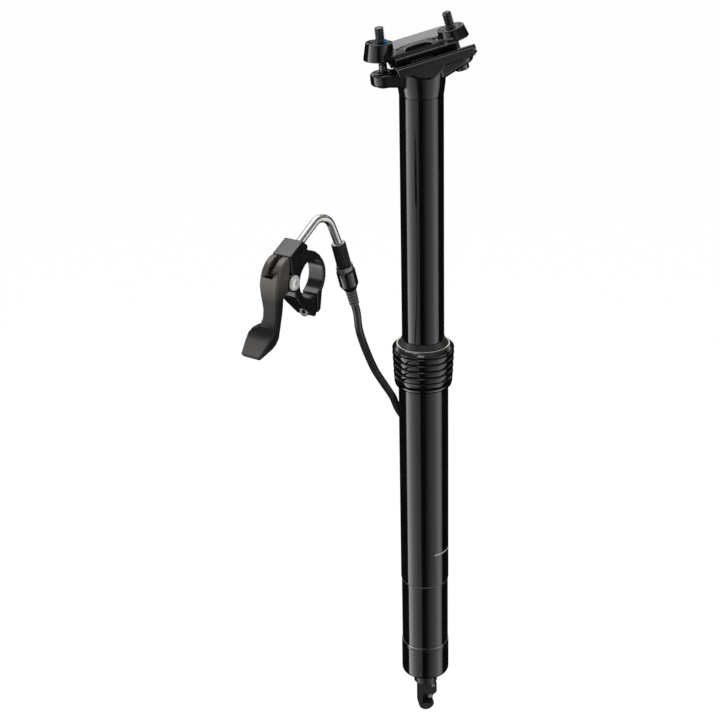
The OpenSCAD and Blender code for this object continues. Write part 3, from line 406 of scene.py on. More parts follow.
BOOT_RUBBER = Finish(
    "boot_rubber", "rubber", (0.065, 0.066, 0.07), (0.09, 0.092, 0.098),
    smooth=0.4, rough=0.55, grain=2200, blotch=120, bump=0.3, depth=0.02, ior=1.52,
)
MOULDED_BLACK = Finish(
    "moulded_black", "black_plastic", (0.03, 0.03, 0.032), (0.045, 0.045, 0.048),
    smooth=0.4, rough=0.52, grain=2000, blotch=80, bump=0.3, depth=0.02,
)
HOUSING_BLACK = Finish(
    "cable_housing_black", "housing_black", (0.022, 0.023, 0.023), (0.034, 0.035, 0.035),
    smooth=0.22, rough=0.34, grain=1500, blotch=90, ior=1.55,
)
PALE_INLAY = Finish(
    "pale_inlay", "pale_ring", (0.86, 0.79, 0.66), (0.92, 0.86, 0.74),
    smooth=0.2, rough=0.3, metallic=0.35, blotch=200,
)
LASER_WHITE = Finish(
    "laser_white", "pale_ring", (0.72, 0.72, 0.72), (0.82, 0.82, 0.82),
    smooth=0.45, rough=0.6, grain=3000, blotch=300,
)
BRIGHT_ZINC = Finish(
    "bright_zinc", "polished_steel", (0.8, 0.8, 0.78), (0.88, 0.88, 0.86),
    smooth=0.24, rough=0.34, metallic=0.35, bump=0.05, depth=0.006,
)
BRIGHT_CUT = Finish(
    "bright_cut_edge", "polished_steel", (0.26, 0.27, 0.285), (0.3, 0.31, 0.325),
    smooth=0.1, rough=0.15, metallic=1.0, bump=0.02, depth=0.004,
)
# A dim grey ring at the tube's step, a painted highlight of the step's edge.
STEP_HIGHLIGHT_GREY = Finish(
    "painted_step_highlight", "satin_black", (0.1, 0.1, 0.105), (0.13, 0.13, 0.135),
    smooth=0.35, rough=0.45, metallic=0.3, blotch=120,
)
FOOT_RING = Finish(
    "brushed_dark_ring", "satin_black", (0.15, 0.156, 0.163), (0.18, 0.187, 0.195),
    smooth=0.16, rough=0.24, metallic=1.0, blotch=120,
)
THREAD_LOCK = Finish(
    "thread_lock_blue", "black_steel", (0.02, 0.2, 0.55), (0.03, 0.28, 0.7),
    smooth=0.3, rough=0.4, grain=1500, blotch=400, bump=0.2, depth=0.02,
)


# Workbench


class Bench:
    """Object and edit mode work that every sub-assembly shares."""

    @staticmethod
    def only(piece: Piece) -> None:
        """Selects one object and makes it active."""
        bpy.ops.object.select_all(action="DESELECT")
        piece.select_set(True)
        bpy.context.view_layer.objects.active = piece

    @staticmethod
    def edit() -> None:
        """Enters edit mode with everything selected."""
        bpy.ops.object.mode_set(mode="EDIT")
        bpy.ops.mesh.select_all(action="SELECT")

    @staticmethod
    def leave() -> None:
        """Leaves edit mode."""
        bpy.ops.object.mode_set(mode="OBJECT")

    @classmethod
    def close(cls) -> None:
        """Joins the seams of the mesh in edit mode, turns its faces outward and leaves edit mode."""
        bpy.ops.mesh.select_all(action="SELECT")
        bpy.ops.mesh.remove_doubles(threshold=WELD)
        bpy.ops.mesh.normals_make_consistent(inside=False)
        cls.leave()

    @classmethod
    def apply(cls, piece: Piece, kind: str, **settings: object) -> None:
        """Adds a modifier and applies it.

        Args:
            piece: The object.
            kind: The modifier's type.
            **settings: The modifier's property names and values.
        """
        cls.only(piece)
        made = piece.modifiers.new(kind.title(), kind)
        for name, value in settings.items():
            setattr(made, name, value)
        bpy.ops.object.modifier_apply(modifier=made.name)

    @classmethod
    def smooth(cls, piece: Piece, degrees: float) -> None:
        """Shades smooth across the edges under an angle."""
        cls.only(piece)
        bpy.ops.object.shade_smooth_by_angle(angle=math.radians(degrees))

    @classmethod
    def soften(
        cls, piece: Piece, width: float, segments: int = 3, degrees: float = 35.0, clamp: bool = True
    ) -> None:
        """Rounds the edges over an angle and evens the shading.

        Args:
            piece: The object.
            width: The rounding's width in millimetres.
            segments: The rounding's steps.
            degrees: The least angle of an edge that is rounded.
            clamp: Whether short edges limit the width.
        """
        cls.apply(
            piece, "BEVEL", width=width * MM, segments=segments, limit_method="ANGLE",
            angle_limit=math.radians(degrees), use_clamp_overlap=clamp,
        )
        cls.smooth(piece, 40.0)
        cls.apply(piece, "WEIGHTED_NORMAL", keep_sharp=True, weight=50)

    @classmethod
    def forged(cls, piece: Piece, grid: float, rounds: int, kept: float = 0.4) -> None:
        """Rounds all edges of a piece as if it was forged.

        Args:
            piece: The object.
            grid: The size of the new faces in millimetres.
            rounds: How often the corners are averaged.
            kept: The share of faces that stays.
        """
        cls.apply(piece, "REMESH", mode="VOXEL", voxel_size=grid * MM)
        cls.apply(piece, "SMOOTH", factor=0.5, iterations=rounds)
        cls.apply(piece, "DECIMATE", ratio=kept)
        cls.smooth(piece, 60.0)

    @classmethod
    def twin(cls, node: str, name: str, flat: float = 0.6, join: float = 0.002) -> Piece:
        """Copies a CAD node's mesh and clears its spare edges.

        Args:
            node: The CAD node's name.
            name: The new piece's name.
            flat: The greatest angle between faces that are made one.
            join: The distance in millimetres under which corners are made one.

        Returns:
            The new object, which stands for the node.
        """
        source = bpy.data.objects[node]
        piece = bpy.data.objects.new(name, source.data.copy())
        bpy.context.scene.collection.objects.link(piece)
        cls.only(piece)
        bpy.ops.mesh.customdata_custom_splitnormals_clear()
        cls.edit()
        bpy.ops.mesh.remove_doubles(threshold=join * MM)
        bpy.ops.mesh.dissolve_limited(angle_limit=math.radians(flat))
        cls.leave()
        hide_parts(node)
        return piece

    @staticmethod
    def dress(piece: Piece, finish: Finish, body: str | None = None) -> None:
        """Gives a piece its finish and its body.

        Args:
            piece: The object.
            finish: The finish.
            body: The body a new piece rides on, or None for a CAD node.
        """
        piece.data.materials.clear()
        piece.data.materials.append(finish.material())
        if body:
            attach(piece, body)
        log.info("%s: %s", piece.name, finish.name)

    @classmethod
    def paint(cls, finishes: dict[str, Finish]) -> None:
        """Gives CAD nodes their finishes."""
        for node, finish in finishes.items():
            cls.dress(bpy.data.objects[node], finish)

    @classmethod
    def turned(
        cls, name: str, profile: Profile | list[Pair], degrees: float = 30.0,
        sides: int = 128, place: Matrix = Matrix.Identity(4), bored: bool = True,
    ) -> Piece:
        """Makes a turned piece by extruding and resizing a ring along Z.

        Args:
            name: The piece's name.
            profile: Radius and height of each ring, in millimetres, from one end to the other.
            degrees: The edges that are shaded smooth are under this angle.
            sides: The ring's corners.
            place: Where the piece's foot and axis go.
            bored: Whether the profile closes on itself about a bore, or ends in two flat faces.

        Returns:
            The closed piece.
        """
        bpy.ops.object.select_all(action="DESELECT")
        radius, height = profile[0]
        bpy.ops.mesh.primitive_circle_add(
            vertices=sides, radius=radius * MM, fill_type="NOTHING" if bored else "NGON",
            location=(0, 0, height * MM),
        )
        piece = bpy.context.active_object
        piece.name = name
        bpy.ops.object.transform_apply(location=True, rotation=True, scale=True)
        cls.edit()
        for wide, high in [*profile[1:], *profile[:bored]]:
            rise = (high - height) * MM
            bpy.ops.mesh.extrude_region_move(TRANSFORM_OT_translate={"value": (0, 0, rise)})
            scale = wide / radius
            if abs(scale - 1) > 1e-9:
                bpy.ops.transform.resize(value=(scale, scale, 1), center_override=(0, 0, high * MM))
            radius, height = wide, high
        cls.close()
        piece.data.transform(place)
        cls.smooth(piece, degrees)
        return piece

    @classmethod
    def swept(cls, name: str, path: list[Vector], radius: float, sides: int) -> Piece:
        """Makes a round tube along a path.

        Args:
            name: The piece's name.
            path: The centreline's points, in metres.
            radius: The tube's radius, in millimetres.
            sides: A quarter of the corners round the tube, less one.

        Returns:
            The closed tube as a mesh.
        """
        line = bpy.data.curves.new(name, "CURVE")
        line.dimensions = "3D"
        line.bevel_depth = radius * MM
        line.bevel_resolution = sides
        line.use_fill_caps = True
        spline = line.splines.new("POLY")
        spline.points.add(len(path) - 1)
        for point, at in zip(spline.points, path):
            point.co = (*at, 1)
        piece = bpy.data.objects.new(name, line)
        bpy.context.scene.collection.objects.link(piece)
        cls.only(piece)
        bpy.ops.object.convert(target="MESH")
        piece = bpy.context.active_object
        cls.edit()
        cls.close()
        cls.smooth(piece, 50.0)
        return piece


def curved(points: list[Vector], steps: int) -> list[Vector]:
    """Draws a smooth line through points.

    Args:
        points: The points, in order.
        steps: How many stretches lie between two points.

    Returns:
        The line's points.
    """
    ends = [2 * points[0] - points[1], *points, 2 * points[-1] - points[-2]]
    line = []
    for a, b, c, d in zip(ends, ends[1:], ends[2:], ends[3:]):
        square, cube = 2 * a - 5 * b + 4 * c - d, 3 * b - a - 3 * c + d
        for k in range(steps):
            t = k / steps
            line.append(0.5 * (2 * b + (c - a) * t + square * t * t + cube * t ** 3))
    return [*line, points[-1].copy()]


# Studio


@dataclass
class Studio:
    """The camera, the floor, the white backdrop and the lamps.

    A band says what its two ends become, then the heights or depths at which it starts and ends.
    """

    eye: Point = (-0.169, -0.9219, 0.4333)
    azimuth: float = 8.0
    pitch: float = 24.0
    roll: float = 1.38
    lens: float = 83.05
    sensor: float = 36.0
    clip: Pair = (0.01, 20.0)
    floor_z: float = -0.62
    floor_size: float = 9.0
    floor_white: float = 1.03
    floor_cloth: Point = (0.8, 0.8, 0.8)
    white_share: float = 0.94
    sky_low: Band = (0.01, 0.14, 0.02, 0.5)
    sky_top: Band = (0.0, 0.3, 0.6, 0.9)
    panel_rise: Band = (0.0, 1.0, 0.28, 0.36)
    panel_fall: Band = (1.0, 0.12, 0.46, 0.54)
    panel_behind: Band = (0.0, 2.0, 0.1, 0.7)
    fill: Band = (0.2, 0.6, -0.3, 0.6)
    strip_size: Pair = (0.35, 2.6)
    strip_reach: float = 1.6
    strip_z: float = -0.75
    left: Profile = ((24, 0.36), (36, 0.49), (48, 0.72), (60, 1.08), (72, 1.9), (84, 2.9))
    right: Profile = ((12, 0.1), (24, 0.27), (36, 0.42), (48, 0.58), (60, 0.92), (72, 1.35), (84, 1.0))
    panels: tuple[tuple[str, Point, Pair, float], ...] = (
        ("overhead", (-0.3, 0.5, 1.7), (1.6, 1.2), 14.0),
        ("front_top", (-0.35, -0.75, 1.5), (0.5, 0.5), 1.6),
    )
    aim: Point = (0.0, 0.0, 0.2)

    def camera(self) -> None:
        """Places the camera at the photograph's angle."""
        data = bpy.data.cameras.new("camera")
        data.lens = self.lens
        data.sensor_width = self.sensor
        data.clip_start, data.clip_end = self.clip
        camera = bpy.data.objects.new("camera", data)
        bpy.context.scene.collection.objects.link(camera)
        a, p = math.radians(self.azimuth), math.radians(self.pitch)
        ahead = Vector((math.sin(a) * math.cos(p), math.cos(a) * math.cos(p), -math.sin(p)))
        rolled = Quaternion((0, 0, 1), -math.radians(self.roll))
        camera.location = self.eye
        camera.rotation_mode = "QUATERNION"
        camera.rotation_quaternion = ahead.to_track_quat("-Z", "Y") @ rolled
        bpy.context.scene.camera = camera

    def backed(self) -> Material:
        """Makes the floor's material, which the camera sees as plain white and the lamps light.

        Returns:
            The material.
        """
        made = bpy.data.materials.new("pale_floor")
        graph = Graph.blank(made)
        white = graph.node("ShaderNodeEmission", {"Strength": self.floor_white}).outputs[0]
        cloth = graph.node("ShaderNodeBsdfDiffuse", {"Color": (*self.floor_cloth, 1)}).outputs[0]
        seen = graph.node("ShaderNodeLightPath").outputs["Is Camera Ray"]
        share = graph.math("MULTIPLY", seen, self.white_share)
        mix = graph.node("ShaderNodeMixShader", {0: share, 1: cloth, 2: white})
        graph.node("ShaderNodeOutputMaterial", {"Surface": mix.outputs[0]})
        return made

    def floor(self) -> None:
        """Lays the pale floor."""
        bpy.ops.object.select_all(action="DESELECT")
        bpy.ops.mesh.primitive_plane_add(size=self.floor_size, location=(0, 0, self.floor_z))
        plane = bpy.context.active_object
        plane.name = "studio_floor"
        plane.data.materials.append(self.backed())
        plane.visible_glossy = False

    def world(self) -> None:
        """Sets a white background, what shiny faces mirror, and a soft fill from all round."""
        world = bpy.data.worlds.new("studio")
        bpy.context.scene.world = world
        graph = Graph.blank(world)
        path = graph.node("ShaderNodeLightPath")
        seen, glossy = path.outputs["Is Camera Ray"], path.outputs["Is Glossy Ray"]
        _, y, z = graph.parts(graph.node("ShaderNodeTexCoord").outputs["Generated"])
        rise, fall = graph.spread(z, *self.panel_rise), graph.spread(z, *self.panel_fall)
        behind = graph.spread(y, *self.panel_behind)
        panel = graph.math("MULTIPLY", graph.math("MULTIPLY", rise, fall), behind)
        high = graph.math("ADD", graph.spread(z, *self.sky_low), panel)
        high = graph.math("ADD", high, graph.spread(z, *self.sky_top))
        rest = graph.math("SUBTRACT", 1.0, graph.math("MAXIMUM", seen, glossy))
        total = graph.math("ADD", seen, graph.math("MULTIPLY", glossy, high))
        total = graph.math("ADD", total, graph.math("MULTIPLY", rest, graph.spread(z, *self.fill)))
        light = graph.node("ShaderNodeBackground", {"Strength": total}).outputs[0]
        graph.node("ShaderNodeOutputWorld", {"Surface": light})

    @staticmethod
    def softbox(name: str, at: Vector, ahead: Vector, size: Pair, power: float) -> None:
        """Hangs a softbox.

        Args:
            name: The lamp's name.
            at: Its place in metres.
            ahead: Where it faces.
            size: Its width and height.
            power: Its power in watts.
        """
        data = bpy.data.lights.new(name, "AREA")
        data.shape = "RECTANGLE"
        data.size, data.size_y = size
        data.energy = power
        lamp = bpy.data.objects.new(name, data)
        bpy.context.scene.collection.objects.link(lamp)
        lamp.location = at
        lamp.rotation_mode = "QUATERNION"
        lamp.rotation_quaternion = ahead.to_track_quat("-Z", "Y")

    def lamps(self) -> None:
        """Hangs a graded row of upright strips on each side, and the panels above.

        A strip's grade holds its direction from the camera's, in degrees, and its radiance in units of
        a plain white.
        """
        wide, tall = self.strip_size
        for side, grades in ((-1, self.left), (1, self.right)):
            for turn, radiance in grades:
                a = math.radians(self.azimuth - side * turn)
                inward = Vector((math.sin(a), math.cos(a), 0))
                at = -self.strip_reach * inward + Vector((0, 0, self.strip_z))
                power = radiance * math.pi * wide * tall
                self.softbox(f"strip_{side * turn}", at, inward, self.strip_size, power)
        for name, at, size, power in self.panels:
            self.softbox(name, Vector(at), Vector(self.aim) - Vector(at), size, power)

    def build(self) -> None:
        """Builds the whole studio."""
        bpy.context.scene.view_settings.view_transform = "Standard"
        self.floor()
        self.world()
        self.lamps()


# Where the remote lies


@dataclass(frozen=True)
class RemoteFrame:
    """The remote's place, and its adjuster's top and lean."""

    at: Point = (-80.5, -82.9, 107.9)
    turn: float = -42.0
    adjuster_top: Point = (9.0, 20.2, 15.0)
    adjuster_tilt: float = 165.4
    adjuster_turn: float = 70.4

    def place(self) -> Matrix:
        """Gives the remote's frame, in metres."""
        return Matrix.Translation(mm(self.at)) @ Matrix.Rotation(math.radians(self.turn), 4, "Z")

    def axis(self) -> Quaternion:
        """Gives the turn that lays Z along the adjuster, from its top to its boot."""
        turned = Matrix.Rotation(math.radians(self.turn), 3, "Z")
        return (turned @ heading(self.adjuster_tilt, self.adjuster_turn)).to_track_quat("Z", "Y")

    def top(self) -> Vector:
        """Gives the adjuster's top, in metres."""
        return self.place() @ mm(self.adjuster_top)

    def on_adjuster(self, z: float) -> Vector:
        """Gives the point on the adjuster's axis at a distance from its top, in millimetres."""
        turned = Matrix.Rotation(math.radians(self.turn), 3, "Z")
        down = z * heading(self.adjuster_tilt, self.adjuster_turn)
        return turned @ (Vector(self.adjuster_top) + down) + Vector(self.at)


REMOTE = RemoteFrame()
KNURLED_BLACK = AxisFinish(
    "knurled_black", "satin_black", (0.012, 0.012, 0.0135), (0.018, 0.018, 0.02025), smooth=0.22,
    rough=0.36, metallic=0.2, grain=2600, bump=0.7, depth=0.16, centre=tuple(REMOTE.top() / MM),
    lean=tuple(REMOTE.axis().to_euler()), count=34, pitch=0.8,
)
KNURLED_STEEL = AxisFinish(
    "knurled_steel", "polished_steel", (0.3, 0.3, 0.31), (0.45, 0.45, 0.465), smooth=0.22,
    rough=0.36, metallic=1.0, grain=2600, bump=0.7, depth=0.16, centre=tuple(REMOTE.top() / MM),
    lean=tuple(REMOTE.axis().to_euler()), count=40, pitch=0.9,
)


# Cable housing


@dataclass
class CableHousing:
    """The cable housing from the adjuster to its ferrule, with its hank and tie."""

    body_z: float = 16.8
    in_body: float = 7.0
    boot_z: float = 29.8
    in_boot: float = 3.0
    boot_len: float = 10.2
    past_boot: float = 6.0
    housing_d: float = 4.6
    middle: tuple[Point, ...] = (
        (-48.8, -65.4, 67.5), (-45.8, -60, 56.5), (-42.5, -53, 46.5), (-39, -44, 36.5), (-35, -34, 26),
        (-30, -23, 15), (-24.5, -10.5, 3), (-19, 1.4, -9), (-15.5, 12, -19.5), (-11.5, 22, -29.5),
        (-7.5, 31, -38.5), (-4.5, 39.5, -48.5), (-3, 45, -58.5),
    )
    hank_lead: float = 8.0
    hank_turn: float = 8.0
    hank_top: float = -76.0
    hank_depth: float = 33.0
    fold_r: float = 13.9
    first: float = -9.2
    step: float = 5.3
    waist: float = 4.5
    run: float = 90.0
    turns: int = 4
    rings: int = 24
    smoothing: int = 3
    strand_at: Point = (18.41, 44.77, 0)

    def lap(self) -> float:
        """Gives the length of one turn of the hank, in millimetres."""
        return 2 * self.run + 2 * math.pi * self.fold_r

    def pinch(self, share: float) -> float:
        """Gives how far the tie draws a straight run in, at a share of its length."""
        return self.waist * math.sin(math.pi * share) ** 2

    def hank_point(self, t: float) -> Vector:
        """Gives a point of the hank.

        Args:
            t: The share of turns from the hank's start.

        Returns:
            The point, in millimetres.
        """
        half = self.lap() / 2
        k = math.floor(t)
        back, s = divmod((t - k) * 2 * half, half)
        if s < self.run:
            out, up = self.fold_r - self.pinch(s / self.run), -s
        else:
            a = (s - self.run) / self.fold_r
            out, up = self.fold_r * math.cos(a), -self.run - self.fold_r * math.sin(a)
        q = 0.0
        if back:
            out, up, q = -out, -self.run - up, min(1.0, s / self.run)
        side = self.first + self.step * (k + q * q * (3 - 2 * q))
        turn = math.radians(self.hank_turn)
        across = Vector((math.cos(turn), -math.sin(turn), 0))
        behind = Vector((math.sin(turn), math.cos(turn), 0))
        return side * across + (self.hank_depth + out) * behind + Vector((0, 0, self.hank_top + up))

    def path(self) -> list[Vector]:
        """Gives the whole centreline, in metres.

        Returns:
            The points from inside the adjuster to the ferrule.
        """
        boot_end = self.boot_z + self.boot_len
        inside = (self.body_z + self.in_body, self.boot_z + self.in_boot)
        lead = [REMOTE.on_adjuster(z) for z in (*inside, boot_end, boot_end + self.past_boot)]
        lead += [Vector(p) for p in self.middle] + [self.hank_point(0) + Vector((0, 0, self.hank_lead))]
        end = self.turns + self.run / self.lap()
        count = math.ceil(end * self.rings)
        hank = [self.hank_point(min(i * end / count, end - 0.0001)) for i in range(count + 1)]
        return [p * MM for p in curved(lead + hank, self.smoothing)]

    def build(self) -> None:
        """Makes the housing and dresses what is on it."""
        path = self.path()
        piece = Bench.swept("cable_housing", path, self.housing_d / 2, 3)
        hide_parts("housing_lead", "housing_hank")
        Bench.dress(piece, HOUSING_BLACK, "post_body")

        strand = AxisFinish(
            "stranded_steel", "steel", (0.6, 0.6, 0.59), (0.68, 0.68, 0.66), smooth=0.24, rough=0.36,
            metallic=1.0, grain=2600, bump=0.8, depth=0.12, centre=self.strand_at, effect=Effect.STRAND,
            count=7, pitch=7,
        )
        ends = {
            "hank_tie": MOULDED_BLACK, "end_ferrule": TURNED_ALUMINIUM, "inner_cable": strand,
            "cable_nipple": PLAIN_STEEL,
        }
        Bench.paint(ends)


# Lower post


@dataclass
class LowerPost:
    """The clamped tube with its collar, seal, cap and marks.

    The collar's profiles and its foot ring hold radii and heights. The step's line, a grey ring that
    paints the step's highlight, and the cap's edge are given from the tube's surface and from the height
    that they lie at.
    """

    tube_r: float = 15.45
    mark_lift: float = 0.01
    mark_thick: float = 0.03
    mark_step: float = 3.0
    line_z: float = -116.2
    line_tall: float = 0.55
    line_from: float = -75.0
    line_to: float = 22.0
    tick_pitch: float = 10.0
    tick_first: float = -24.0
    tick_tall: float = 0.4
    tick_from: float = 2.0
    tick_to: float = 12.0
    long_tick_to: float = 18.0
    long_every: int = 5
    tick_count: int = 8
    collar_foot: Profile = ((15.5, 0.05), (16.9, 0.05), (17.7, 2.0), (17.9, 2.15), (18.15, 6.2))
    rib_count: int = 4
    rib_first: float = 6.6
    rib_pitch: float = 4.3
    rib_r: float = 17.65
    rib_flare: float = 0.22
    rib_bulge: float = 0.75
    rib_half: float = 1.95
    rib_steps: int = 8
    collar_mouth: Profile = (
        (18.75, 23.95), (19.0, 24.2), (19.08, 24.55), (18.95, 24.95), (18.6, 25.35), (17.0, 26.85),
        (16.62, 27.15), (16.4, 27.2), (16.3, 26.75), (15.7, 26.75), (15.6, 27.2), (15.5, 27.1),
    )
    foot_ring: Profile = ((16.3, 0.02), (17.0, 0.02), (17.45, 0.5), (17.78, 1.8), (17.7, 2.1))
    step_z: float = -139.0
    step_line: Profile = ((-0.7, -0.9), (-0.35, -0.9), (-0.31, -0.5), (-0.6, -0.3))
    cap_z: float = -186.0
    cap_edge: Profile = ((-0.4, -0.9), (0.02, -0.8), (-0.02, -0.32), (-0.06, -0.3), (-0.6, -0.2))

    def band(self, name: str, z: float, tall: float, start: float, end: float) -> Piece:
        """Makes a thin mark that follows the tube.

        Args:
            name: The mark's name.
            z: The height of its lower edge.
            tall: Its height.
            start: Where it starts, in degrees about Z from +X.
            end: Where it ends.

        Returns:
            The mark.
        """
        bpy.ops.object.select_all(action="DESELECT")
        steps = max(3, round((end - start) / self.mark_step))
        outward = Vector((self.tube_r + self.mark_lift, 0, z))
        at = Matrix.Rotation(math.radians(start), 3, "Z") @ outward
        bpy.ops.mesh.primitive_plane_add(size=1.0)
        piece = bpy.context.active_object
        piece.name = name
        Bench.edit()
        bpy.ops.mesh.merge(type="CENTER")
        bpy.ops.transform.translate(value=at * MM)
        bpy.ops.mesh.extrude_vertices_move(TRANSFORM_OT_translate={"value": (0, 0, tall * MM)})
        bpy.ops.mesh.select_all(action="SELECT")
        bpy.ops.mesh.spin(steps=steps, angle=math.radians(start - end), center=(0, 0, 0), axis=(0, 0, 1))
        Bench.close()
        Bench.apply(piece, "SOLIDIFY", thickness=self.mark_thick * MM, offset=0.0)
        Bench.smooth(piece, 60.0)
        return piece

    def marks(self) -> None:
        """Makes the insertion line and the scale's ticks."""
        line = self.band("insertion_line", self.line_z, self.line_tall, self.line_from, self.line_to)
        Bench.dress(line, LASER_WHITE, "post_body")
        for k in range(self.tick_count):
            z = self.tick_first - k * self.tick_pitch
            end = self.tick_to if k % self.long_every else self.long_tick_to
            tick = self.band(f"scale_tick_{k}", z, self.tick_tall, self.tick_from, end)
            Bench.dress(tick, LASER_WHITE, "post_body")

    def collar(self) -> None:
        """Turns the collar with rounded grip ribs and a pale ring at its foot."""
        profile = [*self.collar_foot]
        for k in range(self.rib_count):
            low, side = self.rib_first + self.rib_pitch * k, self.rib_r + self.rib_flare * k
            for step in range(self.rib_steps + 1):
                a = math.pi * step / self.rib_steps
                bulge = (self.rib_bulge * math.sin(a), self.rib_half * (1 - math.cos(a)))
                profile.append((side + bulge[0], low + bulge[1]))
        piece = Bench.turned("turned_collar", [*profile, *self.collar_mouth], 50.0)
        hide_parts("collar")
        Bench.dress(piece, GLOSS_BLACK, "post_body")
        Bench.dress(Bench.turned("collar_foot_ring", self.foot_ring), FOOT_RING, "post_body")

    def edges(self) -> None:
        """Turns the grey line that paints the highlight at the tube's step, and the cap's bright edge."""
        for name, z, section, finish in (
            # The step's line is a painted highlight.
            ("step_line", self.step_z, self.step_line, STEP_HIGHLIGHT_GREY),
            ("cap_bright_edge", self.cap_z, self.cap_edge, BRIGHT_CUT),
        ):
            ring = Bench.turned(name, [(self.tube_r + out, z + up) for out, up in section])
            Bench.dress(ring, finish, "post_body")

    def build(self) -> None:
        """Dresses the tube's nodes and makes the marks."""
        Bench.paint({
            "outer_tube": GLOSS_BLACK, "bottom_cap": GLOSS_BLACK, "wiper_seal": SEAL_RUBBER,
            "accent_ring": PALE_INLAY, "upper_bushing": BEARING_POLYMER, "cartridge_rod": PLAIN_STEEL,
            "cartridge_piston": TURNED_BRASS,
        })
        self.collar()
        self.edges()
        self.marks()


# Sliding post


@dataclass(frozen=True)
class Bolt:
    """A clamp bolt's place and lean, its reach up and down, and where its thread leaves the nut."""

    name: str
    x: float
    z: float
    lean: float
    up: float
    down: float
    free: float

    def place(self) -> Matrix:
        """Gives the bolt's frame, with Z along it."""
        lean = Matrix.Rotation(-math.radians(self.lean), 4, "Y")
        return Matrix.Translation(mm((self.x, 0, self.z))) @ lean


@dataclass
class SlidingPost:
    """The sliding tube, its head and the clamp bolts."""

    front: Bolt = Bolt("front_bolt", x=-22.3, z=202.0, lean=5.0, up=21.5, down=10.1, free=13.2)
    rear: Bolt = Bolt("rear_bolt", x=21.5, z=205.5, lean=16.0, up=25.4, down=6.3, free=16.6)
    bolt_d: float = 5.5
    thread_deep: float = 0.55
    shank_d: float = 4.9
    shank_deep: float = 0.45
    pitch: float = 1.0
    thread_marks: tuple[float, float, float, float] = (0.36, 0.5, 0.9, 1.0)
    tip: float = 1.4
    tip_cut: Profile = ((0.1, 0.15), (0.5, 0.0))
    head_d: float = 8.6
    head_tall: float = 3.2
    head_edge: float = 0.4
    socket: Profile = ((1.9, 1.6), (2.0, 3.0), (2.3, 3.2))
    dab_size: Point = (1.15, 0.85, 1.35)
    dab_at: Point = (2.5, -1.3, 13.0)
    lump: float = 0.9
    lump_deep: float = 0.8

    def bolt(self, which: Bolt) -> Piece:
        """Makes a bolt with a socket head, a thread and a rounded tip.

        Args:
            which: The bolt's measures.

        Returns:
            The bolt.
        """
        crest, root = self.shank_d / 2, self.shank_d / 2 - self.shank_deep
        head, foot = self.head_d / 2, -which.down - self.head_tall
        profile = [(wide, -which.down - deep) for wide, deep in self.socket]
        profile += [(head - self.head_edge, foot), (head, foot + self.head_edge)]
        profile += [(head, -which.down), (crest, -which.down + 0.001), (crest, 0.0)]
        z = 0.0
        while z < which.up - self.tip:
            if z > which.free:
                crest, root = self.bolt_d / 2, self.bolt_d / 2 - self.thread_deep
            wave = zip((root, root, crest, crest), self.thread_marks)
            profile += [(wide, z + share * self.pitch) for wide, share in wave]
            z += self.pitch
        profile += [(root - cut, which.up - short) for cut, short in self.tip_cut]
        return Bench.turned(which.name, profile, 28.0, 24, which.place(), bored=False)

    def thread_lock(self) -> None:
        """Makes the dab of thread lock where the front bolt leaves its nut."""
        bpy.ops.object.select_all(action="DESELECT")
        bpy.ops.mesh.primitive_ico_sphere_add(subdivisions=4, radius=1.0 * MM)
        piece = bpy.context.active_object
        piece.name = "thread_lock_dab"
        Bench.edit()
        bpy.ops.transform.resize(value=self.dab_size, center_override=(0, 0, 0))
        Bench.leave()
        lumps = bpy.data.textures.new("lumps", "CLOUDS")
        lumps.noise_scale = self.lump * MM
        Bench.apply(piece, "DISPLACE", texture=lumps, strength=self.lump_deep * MM, mid_level=0.5)
        piece.data.transform(self.front.place() @ Matrix.Translation(mm(self.dab_at)))
        piece.location = (0, 0, 0)
        Bench.smooth(piece, 60.0)
        Bench.dress(piece, THREAD_LOCK, "sliding_post")

    def build(self) -> None:
        """Makes and dresses the sliding parts."""
        Bench.paint({
            "stanchion": GLOSS_BLACK, "lower_bushing": BEARING_POLYMER, "alignment_keys": TURNED_BRASS,
            "cartridge_cylinder": TURNED_ALUMINIUM, "cartridge_gland": MOULDED_BLACK,
            "bolt_washers": BLACK_STEEL,
        })
        head = Bench.twin("post_head", "forged_head")
        Bench.forged(head, grid=0.42, rounds=6)
        Bench.dress(head, FORGED_BLACK, "sliding_post")
        self.thread_lock()
        for which in (self.front, self.rear):
            bolt = self.bolt(which)
            Bench.dress(bolt, BLACK_STEEL, "sliding_post")
            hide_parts("clamp_bolts")


# Saddle clamp


@dataclass
class SaddleClamp:
    """The two cradles and their barrel nuts."""

    grid: float = 0.36
    rounds: int = 4

    def build(self) -> None:
        """Makes and dresses the clamp."""
        for node in ("lower_cradle", "upper_cradle"):
            piece = Bench.twin(node, f"forged_{node}")
            Bench.forged(piece, self.grid, self.rounds)
            Bench.dress(piece, FORGED_BLACK, "saddle_clamp")
        Bench.paint({"barrel_nuts": BLACK_STEEL})


# Foot actuator


@dataclass
class FootActuator:
    """The bracket, lever, pin and cable anchor under the cap."""

    bracket_edge: float = 0.35
    lever_edge: float = 0.25

    def build(self) -> None:
        """Makes and dresses the foot's parts."""
        bracket = Bench.twin("actuator_bracket", "machined_bracket")
        Bench.soften(bracket, self.bracket_edge)
        Bench.dress(bracket, MACHINED_BLACK, "post_body")
        lever = Bench.twin("actuator_lever", "machined_foot_lever")
        Bench.soften(lever, self.lever_edge)
        Bench.dress(lever, MACHINED_BLACK, "foot_lever")
        Bench.paint(dict.fromkeys(("actuator_pivot_pin", "cable_anchor", "valve_pin"), PLAIN_STEEL))


# Handlebar remote


